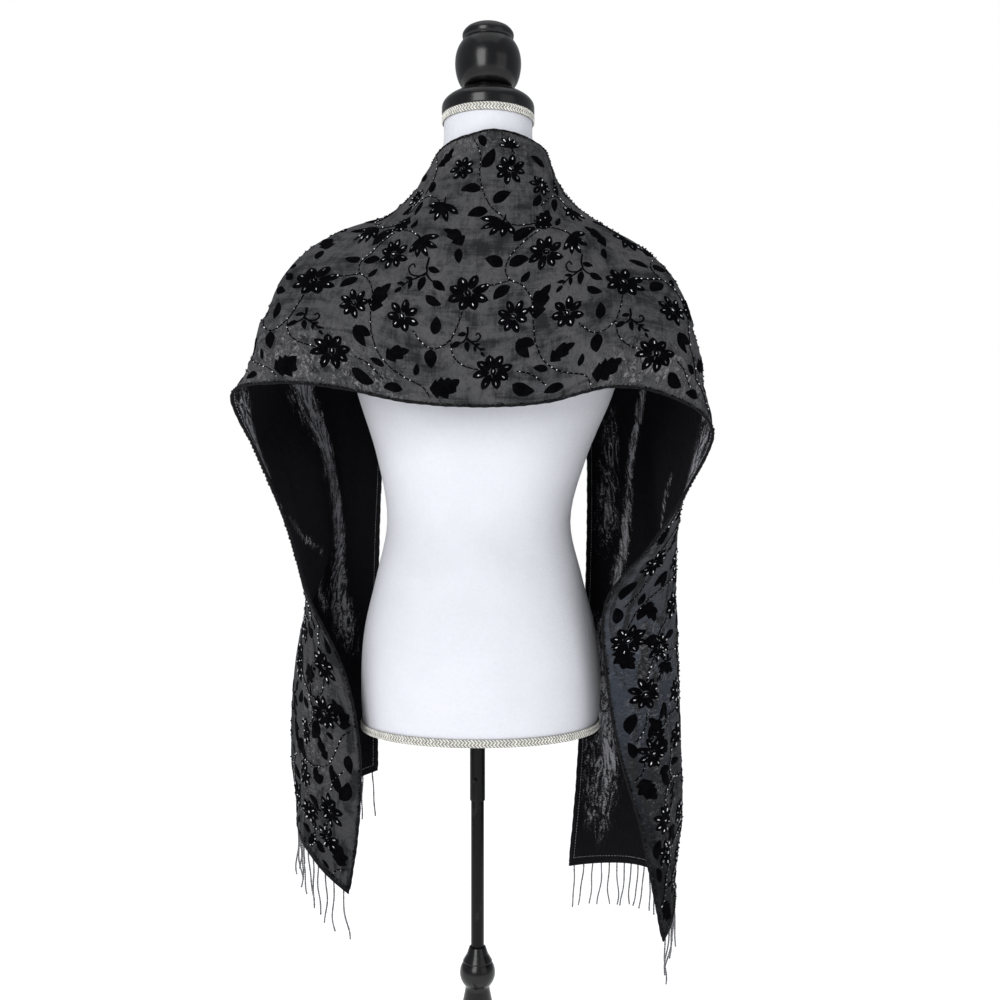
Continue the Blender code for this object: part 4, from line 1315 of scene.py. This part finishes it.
def add_hem(settings, bead_settings, beads):
    """The rolled hem round the cloth, its small beads and the topstitching on the lining."""
    thread = thread_finish("hem_thread", DARK_THREAD, sheen=0.04)
    line = edge_line(HEM_INSIDE, 0.0)
    ahead = np.roll(line, -1, axis=0) - np.roll(line, 1, axis=0)
    ahead /= np.linalg.norm(ahead, axis=1, keepdims=True) + 1e-9
    normal = edge_line(HEM_INSIDE, 0.001) - line
    normal /= np.linalg.norm(normal, axis=1, keepdims=True)
    side = np.cross(ahead, normal)
    turns = round_angles(HEM_SIDES)
    stop = np.arange(len(line))
    lumps = 1 + 0.14 * np.sin(stop * 2.1) + 0.08 * np.sin(stop * 0.73)
    radius = settings.hem_radius * lumps[:, None, None]
    ring = np.cos(turns)[:, None] * normal[:, None, :] + np.sin(turns)[:, None] * side[:, None, :]
    points = line[:, None, :] + radius * ring
    numbers = np.arange(len(line) * HEM_SIDES).reshape(len(line), HEM_SIDES)
    in_body(new_piece("hem_roll", points, loft_faces(numbers, joined=True), thread), "shawl_devore")
    places, runs = evenly(edge_line(HEM_BEADS_INSIDE, FACE_OUT + 0.0004), bead_settings.edge_pitch)
    size = (EDGE_BEAD_LENGTH, EDGE_BEAD_WIDTH)
    string_beads("edge_beads", places, runs, beads, "shawl_devore", "edge", *size)
    places, runs = evenly(edge_line(STITCHES_INSIDE, -FACE_OUT - 0.0001), settings.stitch_length * 1.35)
    thread = thread_finish("stitch_thread", GREY_THREAD)
    size = (settings.stitch_length, STITCH_WIDTH)
    string_beads("lining_stitches", places, runs, thread, "shawl_velvet", "stitch", *size)


def strand_lines(end, inward):
    """The header's points and the line that each strand of one fringe hangs in."""
    count = int(cloth_width() / STRAND_PITCH)
    places = (np.arange(count) + 0.5) / count
    edge_v = np.linspace(0, 1, HEADER_STEPS)
    edge_u = np.full(HEADER_STEPS, end)
    middle = np.zeros(HEADER_STEPS)
    edge = on_cloth(edge_u, edge_v, middle)
    inside = on_cloth(edge_u + inward * 0.007, edge_v, middle)
    normal = on_cloth(edge_u, edge_v, middle + 1) - edge
    down = edge - inside
    down /= np.linalg.norm(down, axis=1, keepdims=True)
    top = edge + HEADER_GAP * down
    bottom = top + HEADER_HEIGHT * down
    lines = []
    for number, place in enumerate(places):
        root = np.array([np.interp(place, edge_v, column) for column in (bottom - 0.001 * down).T])
        t = np.linspace(0, 1, STRAND_STEPS)
        sway = 0.0024 * np.sin(2.4 * number + 3.2 * t) * t + 0.0012 * np.sin(1.7 * number + 7.5 * t) * t
        lean = (0.0026 * math.sin(5.3 * number) + 0.0030 * inward) * t**1.5
        x = root[0] + sway + lean
        y = root[1] + 0.7 * sway - lean
        z = root[2] - (STRAND_LENGTH - HEADER_HEIGHT) * t
        lines.append(np.stack([x, y, z], axis=1))
    return top, bottom, normal, lines


def add_fringe(name, end, inward, settings, beads, thread):
    """A woven header with its beaded strands."""
    top, bottom, normal, lines = strand_lines(end, inward)
    thick = FACE_OUT * normal
    ring = np.stack([top - thick, top + thick, bottom + thick, bottom - thick])
    numbers = np.arange(4 * len(top)).reshape(4, len(top))
    under = np.roll(numbers, -1, axis=0)
    faces = np.stack([numbers[:, :-1], numbers[:, 1:], under[:, 1:], under[:, :-1]], axis=-1)
    faces = [*faces.reshape(-1, 4).tolist(), numbers[::-1, 0].tolist(), numbers[:, -1].tolist()]
    header = new_piece(f"{name}_header", ring, faces, thread)
    bm = bmesh.new()
    bm.from_mesh(header.data)
    bmesh.ops.recalc_face_normals(bm, faces=bm.faces)
    bm.to_mesh(header.data)
    bm.free()
    in_body(header, "shawl_fringe", name)
    places = []
    runs = []
    for line in lines:
        stops, run = evenly(line, settings.fringe_length * FRINGE_PITCH)
        places.append(stops)
        runs.append(run)
    return string_beads(
        f"{name}_strands",
        np.concatenate(places),
        np.concatenate(runs),
        beads,
        "shawl_fringe",
        "strand",
        settings.fringe_length,
        settings.fringe_width,
    )


def add_form_cover(settings):
    """The padded torso in its stretched jersey, one closed smooth loft."""
    heights = [section["z"] for section in rows(FORM_COLUMNS, FORM_SECTIONS)]
    ring_at = np.linspace(0, len(heights) - 1, FORM_RINGS)
    z = np.interp(ring_at, np.arange(len(heights)), heights)
    angles = round_angles(FORM_SIDES)
    rings = np.array([form_point(angles, height) for height in z])
    numbers = np.arange(rings.size // 3).reshape(len(z), FORM_SIDES)
    faces = [*loft_faces(numbers), numbers[0, ::-1].tolist(), numbers[-1].tolist()]
    usual_radius = 0.125
    girth = np.where(angles > math.pi, 2 * math.pi - angles, angles) * usual_radius
    cut = np.stack(np.broadcast_arrays(girth[None, :], z[:, None]), axis=-1).reshape(-1, 2)
    piece = new_piece("form_cover", rings, faces, jersey_finish(settings.jersey_colour), cut)
    piece.data.set_sharp_from_angle(angle=math.radians(50))
    return in_body(piece, "form_jersey", "form_torso")


def add_braid(name, bottom, material, settings, band):
    """A plaited braid on its band: three rows of plaits that lean to and fro."""
    angles = round_angles(BRAID_SIDES)
    inner, outer = 2 * GAP, 2 * GAP + BRAID_WALL * 0.55
    top = bottom + BRAID_HEIGHT
    section = ((bottom, inner), (bottom, outer), (top, outer), (top, inner))
    rings = np.array([form_point(angles, z, out) for z, out in section])
    numbers = np.arange(4 * BRAID_SIDES).reshape(4, BRAID_SIDES)
    base = new_piece(f"{name}_band", rings, loft_faces(numbers, joined=True), band)
    base.data.set_sharp_from_angle(angle=math.radians(50))
    in_body(base, "form_braid", name)
    places = []
    runs = []
    pitch = settings.plait_length * PLAIT_PITCH
    for row, share in enumerate((0.2, 0.5, 0.8)):
        z = bottom + BRAID_HEIGHT * share
        angle = np.linspace(0, 2 * math.pi, 721)
        stops, run = evenly(form_point(angle, z, outer + 0.0002), pitch)
        run /= np.linalg.norm(run, axis=1, keepdims=True)
        lean = PLAIT_LEAN if row % 2 else -PLAIT_LEAN
        places.append(stops)
        runs.append(run + np.array([0, 0, lean]))
    return string_beads(
        f"{name}_plaits",
        np.concatenate(places),
        np.concatenate(runs),
        material,
        "form_braid",
        "plait",
        settings.plait_length,
        PLAIT_WIDTH,
    )


def arc(centre, radius, start, end, steps):
    """Points of a round stretch of a profile, by angles in degrees from straight out."""
    angles = [math.radians(start + (end - start) * i / steps) for i in range(steps + 1)]
    return [(centre[0] + radius * math.cos(a), centre[1] + radius * math.sin(a)) for a in angles]


def softened(profile, cut=0.0009):
    """A profile with each corner worn round by a small distance."""
    points = np.asarray(profile, float)
    made = [points[0]]
    for before, here, after in zip(points, points[1:], points[2:]):
        to, off = before - here, after - here
        near, far = np.linalg.norm(to), np.linalg.norm(off)
        start = here + to / near * min(cut, near * 0.4)
        end = here + off / far * min(cut, far * 0.4)
        made += [start, (start + 2 * here + end) / 4, end]
    made.append(points[-1])
    return np.array(made)


def lathe(name, profile, material, centre_x=0.0, sides=TURNED_SIDES):
    """A turned piece from a profile of radius and height that runs down its outer side from pole to pole."""
    radius, height = softened(profile)[1:-1].T
    angles = round_angles(sides)
    x = centre_x + radius[:, None] * np.cos(angles)
    y = radius[:, None] * np.sin(angles)
    rings = np.stack([x, y, np.broadcast_to(height[:, None], x.shape)], axis=-1).reshape(-1, 3)
    poles = [(centre_x, 0, profile[0][1]), (centre_x, 0, profile[-1][1])]
    numbers = np.arange(len(radius) * sides).reshape(-1, sides)
    faces = [face[::-1] for face in loft_faces(numbers)]
    top, bottom = len(rings), len(rings) + 1
    faces += [[top, int(a), int(b)] for a, b in zip(numbers[0], np.roll(numbers[0], -1))]
    faces += [[bottom, int(b), int(a)] for a, b in zip(numbers[-1], np.roll(numbers[-1], -1))]
    piece = new_piece(name, np.concatenate([rings, poles]), faces, material)
    piece.data.set_sharp_from_angle(angle=math.radians(48))
    return piece


def add_neck_hardware(material):
    """The domed neck cap and the turned finial on it."""
    neck = FORM_SECTIONS[-1][1]
    cap_bottom = FORM_TOP + GAP
    cap_top = 1.3383
    rim = 0.0523
    dome = [(rim * math.cos(a), 1.316 + 0.0215 * math.sin(a)) for a in np.radians(np.linspace(0, 66, 12))]
    cap = [(0, cap_top), (0.024, cap_top), *dome[::-1]]
    cap += [(rim, cap_bottom + 0.001), (rim - 0.001, cap_bottom)]
    in_body(lathe("cap_lacquered", [*cap, (0, cap_bottom)], material, neck), "stand_wood", "neck_cap")
    base = cap_top + GAP
    crown_top = 1.4112
    crown = [(0, crown_top), (0.008, crown_top - 0.0003), (0.014, crown_top - 0.0012)]
    crown += [(0.0195, crown_top - 0.0029), (0.0245, crown_top - 0.0055)]
    crown += [(0.0276, 1.4025), (0.0292, 1.3995), (0.0288, 1.3952), (0.0272, 1.3936)]
    ball = [(0.0272, 1.3936), (0.0300, 1.3902), (0.0337, 1.3842), (0.0362, 1.3770), (0.0373, 1.3690)]
    ball += [(0.0371, 1.3610), (0.0356, 1.3525), (0.0328, 1.3450), (0.0294, 1.3402), (0.0272, base)]
    ball = [tuple(point) for point in smooth_line(ball, 4)[1:]]
    in_body(lathe("finial_lacquered", [*crown, *ball, (0, base)], material, neck), "stand_wood", "finial")


def add_stand(wood, metal):
    """The socket with its set screw, the pole, the turned column and the three legs."""
    seat = FORM_BOTTOM - GAP
    bore = POLE_RADIUS + 0.0004
    plate = 0.034
    socket = [(0, seat), (plate, seat), (plate, seat - 0.003), (SOCKET_RADIUS, seat - 0.0035)]
    socket += [(SOCKET_RADIUS, SOCKET_BOTTOM), (bore, SOCKET_BOTTOM)]
    socket += [(bore, seat - 0.004), (0, seat - 0.004)]
    in_body(lathe("socket_painted", socket, metal), "stand_metal", "pole_socket")
    pole = [(0, seat - 0.006), (POLE_RADIUS, seat - 0.006), (POLE_RADIUS, POLE_BOTTOM), (0, POLE_BOTTOM)]
    in_body(lathe("pole_painted", pole, metal), "stand_metal", "pole")
    bottom = POLE_BOTTOM - GAP
    column = [(0, bottom), (bore, bottom), (bore, COLUMN_TOP)]
    column += [(0.0092, COLUMN_TOP), (0.0122, 0.3610), (0.0168, 0.3535)]
    column += arc((0, 0.3405), 0.0200, 38, -38, 18)
    column += [(0.0137, 0.3255), (0.0137, 0.3225), (0.0165, 0.3085), (0.0205, 0.282), (0.0235, 0.252)]
    column += [(0.0215, 0.226), (0.0170, 0.207), (0.0170, 0.203), (0.0300, 0.199), (0.0340, 0.194)]
    column += [(0.0340, 0.094), (0.0300, 0.088), (0.0180, 0.080)]
    column += arc((0, 0.066), 0.0160, 50, -90, 14)[:-1] + [(0, 0.050)]
    in_body(lathe("column_lacquered", column, wood), "stand_wood", "stand_column")
    screw = [(0, 0.0018), (0.0018, 0.0016), (0.0026, 0.0008), (0.0026, -0.0016), (0, -0.0016)]
    button = lathe("set_screw", screw, metal, sides=24)
    place = np.array([-0.0027, -SOCKET_RADIUS - 0.0005, 0.5586])
    for vert in button.data.vertices:
        vert.co = (place[0] + vert.co.x, place[1] - vert.co.z, place[2] + vert.co.y)
    in_body(button, "stand_metal")
    for number in range(LEG_COUNT):
        add_leg(number, wood)


def add_leg(number, material):
    """One sawn leg in smooth curves, hollowed where it meets the hub, with its edges rounded over."""
    lines = []
    for side in np.linspace(-LEG_THICKNESS / 2, LEG_THICKNESS / 2, 5):
        inner = math.sqrt((HUB_RADIUS + GAP) ** 2 - side**2)
        top = smooth_line([(inner, LEG_JOINT[1]), *LEG_TOP], 6)
        under = smooth_line([*LEG_UNDER, (inner, LEG_JOINT[0])], 6)
        line = np.concatenate([top, [(LEG_REACH, LEG_TOE), (LEG_REACH, 0.0)], under])
        lines.append(np.insert(line, 1, side, axis=1))
    turn = 2 * math.pi * number / LEG_COUNT
    cos, sin = math.cos(turn), math.sin(turn)
    x, y, z = np.concatenate(lines).T
    points = np.stack([x * cos - y * sin, x * sin + y * cos, z], axis=1)
    numbers = np.arange(len(points)).reshape(len(lines), -1)
    faces = [*loft_faces(numbers), numbers[0, ::-1].tolist(), numbers[-1].tolist()]
    piece = new_piece(f"leg_{number + 1}_lacquered", points, faces, material)
    bevel = piece.modifiers.new("rounded", "BEVEL")
    bevel.width = LEG_ROUNDING
    bevel.segments = 3
    bevel.limit_method = "ANGLE"
    bevel.angle_limit = math.radians(40)
    settle(piece)
    piece.data.set_sharp_from_angle(angle=math.radians(40))
    return in_body(piece, "stand_wood", f"leg_{number + 1}")


class SHAWL_OT_cloth(bpy.types.Operator):
    """Makes the devore face, its velvet pile and the crushed velvet lining"""

    bl_idname = "shawl.cloth"
    bl_label = "Cloth"

    def execute(self, context):
        settings = context.scene.shawl_cloth
        near, far = GAP / 2, FACE_OUT
        gauze = ground_finish(settings.ground_colour)
        # The pucker mark places the face's painted crease shade and painted highlight.
        face = cloth_sheet("devore_face", near, far, gauze, "pucker", PUCKERS)
        in_body(face, "shawl_devore", "shawl_face_left", "shawl_face_back", "shawl_face_right")
        velvet = lining_finish(settings.lining_colour, settings.sheen_colour)
        # The nap mark places the lining's painted sheen.
        lining = cloth_sheet("velvet_lining", -far, -near, velvet, "nap", SHEEN_STREAKS)
        in_body(lining, "shawl_velvet", "shawl_lining_left", "shawl_lining_back", "shawl_lining_right")
        pile = add_pile(settings)
        return {"FINISHED"}


class SHAWL_OT_beads(bpy.types.Operator):
    """Sews the beads, the hem and the topstitching on the cloth"""

    bl_idname = "shawl.beads"
    bl_label = "Beads and hem"

    def execute(self, context):
        cloth = context.scene.shawl_cloth
        settings = context.scene.shawl_beads
        silver = bead_finish(settings.bead_colour)
        add_petal_beads(settings, cloth.pile_height, jet_finish("petal_bead", settings.bead_colour, 1.0))
        add_vine_beads(settings, cloth.pile_height, silver)
        add_hem(cloth, settings, jet_finish("hem_bead", settings.bead_colour, 0.05))
        return {"FINISHED"}


class SHAWL_OT_fringe(bpy.types.Operator):
    """Hangs the beaded fringe from both ends"""

    bl_idname = "shawl.fringe"
    bl_label = "Fringe"

    def execute(self, context):
        settings = context.scene.shawl_beads
        beads = fringe_finish(settings.bead_colour)
        thread = thread_finish("header_thread", DARK_THREAD, sheen=0.04)
        add_fringe("fringe_left", LEFT_END, 1, settings, beads, thread)
        add_fringe("fringe_right", RIGHT_END, -1, settings, beads, thread)
        return {"FINISHED"}


class SHAWL_OT_form(bpy.types.Operator):
    """Covers the dress form in jersey and lays its two braids"""

    bl_idname = "shawl.form"
    bl_label = "Dress form"

    def execute(self, context):
        settings = context.scene.shawl_form
        add_form_cover(settings)
        plait = thread_finish("braid_thread", settings.braid_colour, 0.5)
        # The band is darker than the plaits: painted shade in the gaps between them.
        band = thread_finish("braid_band", tuple(part * 0.36 for part in settings.braid_colour), 0.8)
        add_braid("hem_braid", FORM_BOTTOM, plait, settings, band)
        add_braid("neck_braid", FORM_TOP - BRAID_HEIGHT, plait, settings, band)
        return {"FINISHED"}


class SHAWL_OT_stand(bpy.types.Operator):
    """Turns and lacquers the cap, finial, pole, column and legs"""

    bl_idname = "shawl.stand"
    bl_label = "Cap and stand"

    def execute(self, context):
        settings = context.scene.shawl_form
        wood = lacquer_finish(settings.lacquer_colour)
        add_neck_hardware(wood)
        add_stand(wood, metal_finish())
        return {"FINISHED"}


class SHAWL_OT_stage(bpy.types.Operator):
    """Sets up the pale floor, the soft light and the camera"""

    bl_idname = "shawl.stage"
    bl_label = "Stage"

    def execute(self, context):
        settings = context.scene.shawl_stage
        scene = context.scene
        camera = bpy.data.objects.new("photo_camera", bpy.data.cameras.new("photo_camera"))
        scene.collection.objects.link(camera)
        camera.location = CAMERA_PLACE
        camera.rotation_euler = (math.pi / 2, 0, 0)
        camera.data.sensor_width = SENSOR
        camera.data.lens = LENS
        camera.data.shift_y = HORIZON_SHIFT
        scene.camera = camera
        scene.view_settings.view_transform = "Standard"
        reach = 9.0
        paper = Finish("floor_paper", Specular_IOR_Level=0.1, Emission_Strength=0.66)
        paper.set(Emission_Color=(1.0, 1.0, 1.0, 1.0))
        fleck = paper.noise(paper.object_place(), 3.0, 2.0)
        tone = paper.mix(fleck, shade(settings.floor_colour, 0.99), shade(settings.floor_colour, 1.0))
        paper.set(Base_Color=tone, Roughness=0.9)
        corners = [(-reach, -reach, 0), (reach, -reach, 0), (reach, reach, 0), (-reach, reach, 0)]
        floor = new_piece("floor", corners, [[0, 1, 2, 3]], paper.material)
        world = bpy.data.worlds.new("room")
        world.use_nodes = True
        room = Tree(world.node_tree)
        world.node_tree.nodes.clear()
        seen = room.node("ShaderNodeLightPath")
        glow = room.node("ShaderNodeBackground", None, {"Color": (0.93, 0.95, 1.0, 1.0), "Strength": 0.41})
        white = room.node("ShaderNodeBackground", None, {"Color": (1, 1, 1, 1), "Strength": 1.0})
        sky = room.node("ShaderNodeMixShader", None, {0: seen.outputs["Is Camera Ray"]})
        room.put(sky.inputs[1], glow.outputs[0])
        room.put(sky.inputs[2], white.outputs[0])
        room.node("ShaderNodeOutputWorld", None, {"Surface": sky.outputs[0]})
        scene.world = world
        for name, place, at, size, power in LIGHTS:
            self.add_light(name, place, at, size, getattr(settings, power))
        return {"FINISHED"}

    def add_light(self, name, place, at, size, power):
        """A soft rectangular light turned toward a point."""
        light = bpy.data.lights.new(name, "AREA")
        light.shape = "RECTANGLE"
        light.size, light.size_y = size
        light.energy = power
        lamp = bpy.data.objects.new(name, light)
        lamp.location = place
        toward = lamp.location.copy()
        toward.xyz = [b - a for a, b in zip(place, at)]
        lamp.rotation_euler = toward.to_track_quat("-Z", "Y").to_euler()
        bpy.context.scene.collection.objects.link(lamp)


class SHAWL_PT_panel(bpy.types.Panel):
    """The shawl's sizes, colours and buttons"""

    bl_label = "Velvet shawl"
    bl_idname = "SHAWL_PT_panel"
    bl_space_type = "VIEW_3D"
    bl_region_type = "UI"
    bl_category = "Shawl"

    def draw(self, context):
        for group, _ in SETTINGS:
            box = self.layout.box()
            settings = getattr(context.scene, group)
            for name in settings.__annotations__:
                box.prop(settings, name)
        for operator in OPERATORS:
            self.layout.operator(operator.bl_idname)


SETTINGS = (
    ("shawl_cloth", ShawlCloth),
    ("shawl_beads", ShawlBeads),
    ("shawl_form", ShawlForm),
    ("shawl_stage", ShawlStage),
)
OPERATORS = (SHAWL_OT_cloth, SHAWL_OT_beads, SHAWL_OT_fringe, SHAWL_OT_form, SHAWL_OT_stand, SHAWL_OT_stage)


def register():
    for name, group in SETTINGS:
        bpy.utils.register_class(group)
        setattr(bpy.types.Scene, name, bpy.props.PointerProperty(type=group))
    for cls in (*OPERATORS, SHAWL_PT_panel):
        bpy.utils.register_class(cls)


def unregister():
    for cls in (SHAWL_PT_panel, *reversed(OPERATORS)):
        bpy.utils.unregister_class(cls)
    for name, group in reversed(SETTINGS):
        delattr(bpy.types.Scene, name)
        bpy.utils.unregister_class(group)


def main():
    register()
    bpy.ops.shawl.form()
    bpy.ops.shawl.cloth()
    bpy.ops.shawl.beads()
    bpy.ops.shawl.fringe()
    bpy.ops.shawl.stand()
    bpy.ops.shawl.stage()


if __name__ == "__main__":
    main()
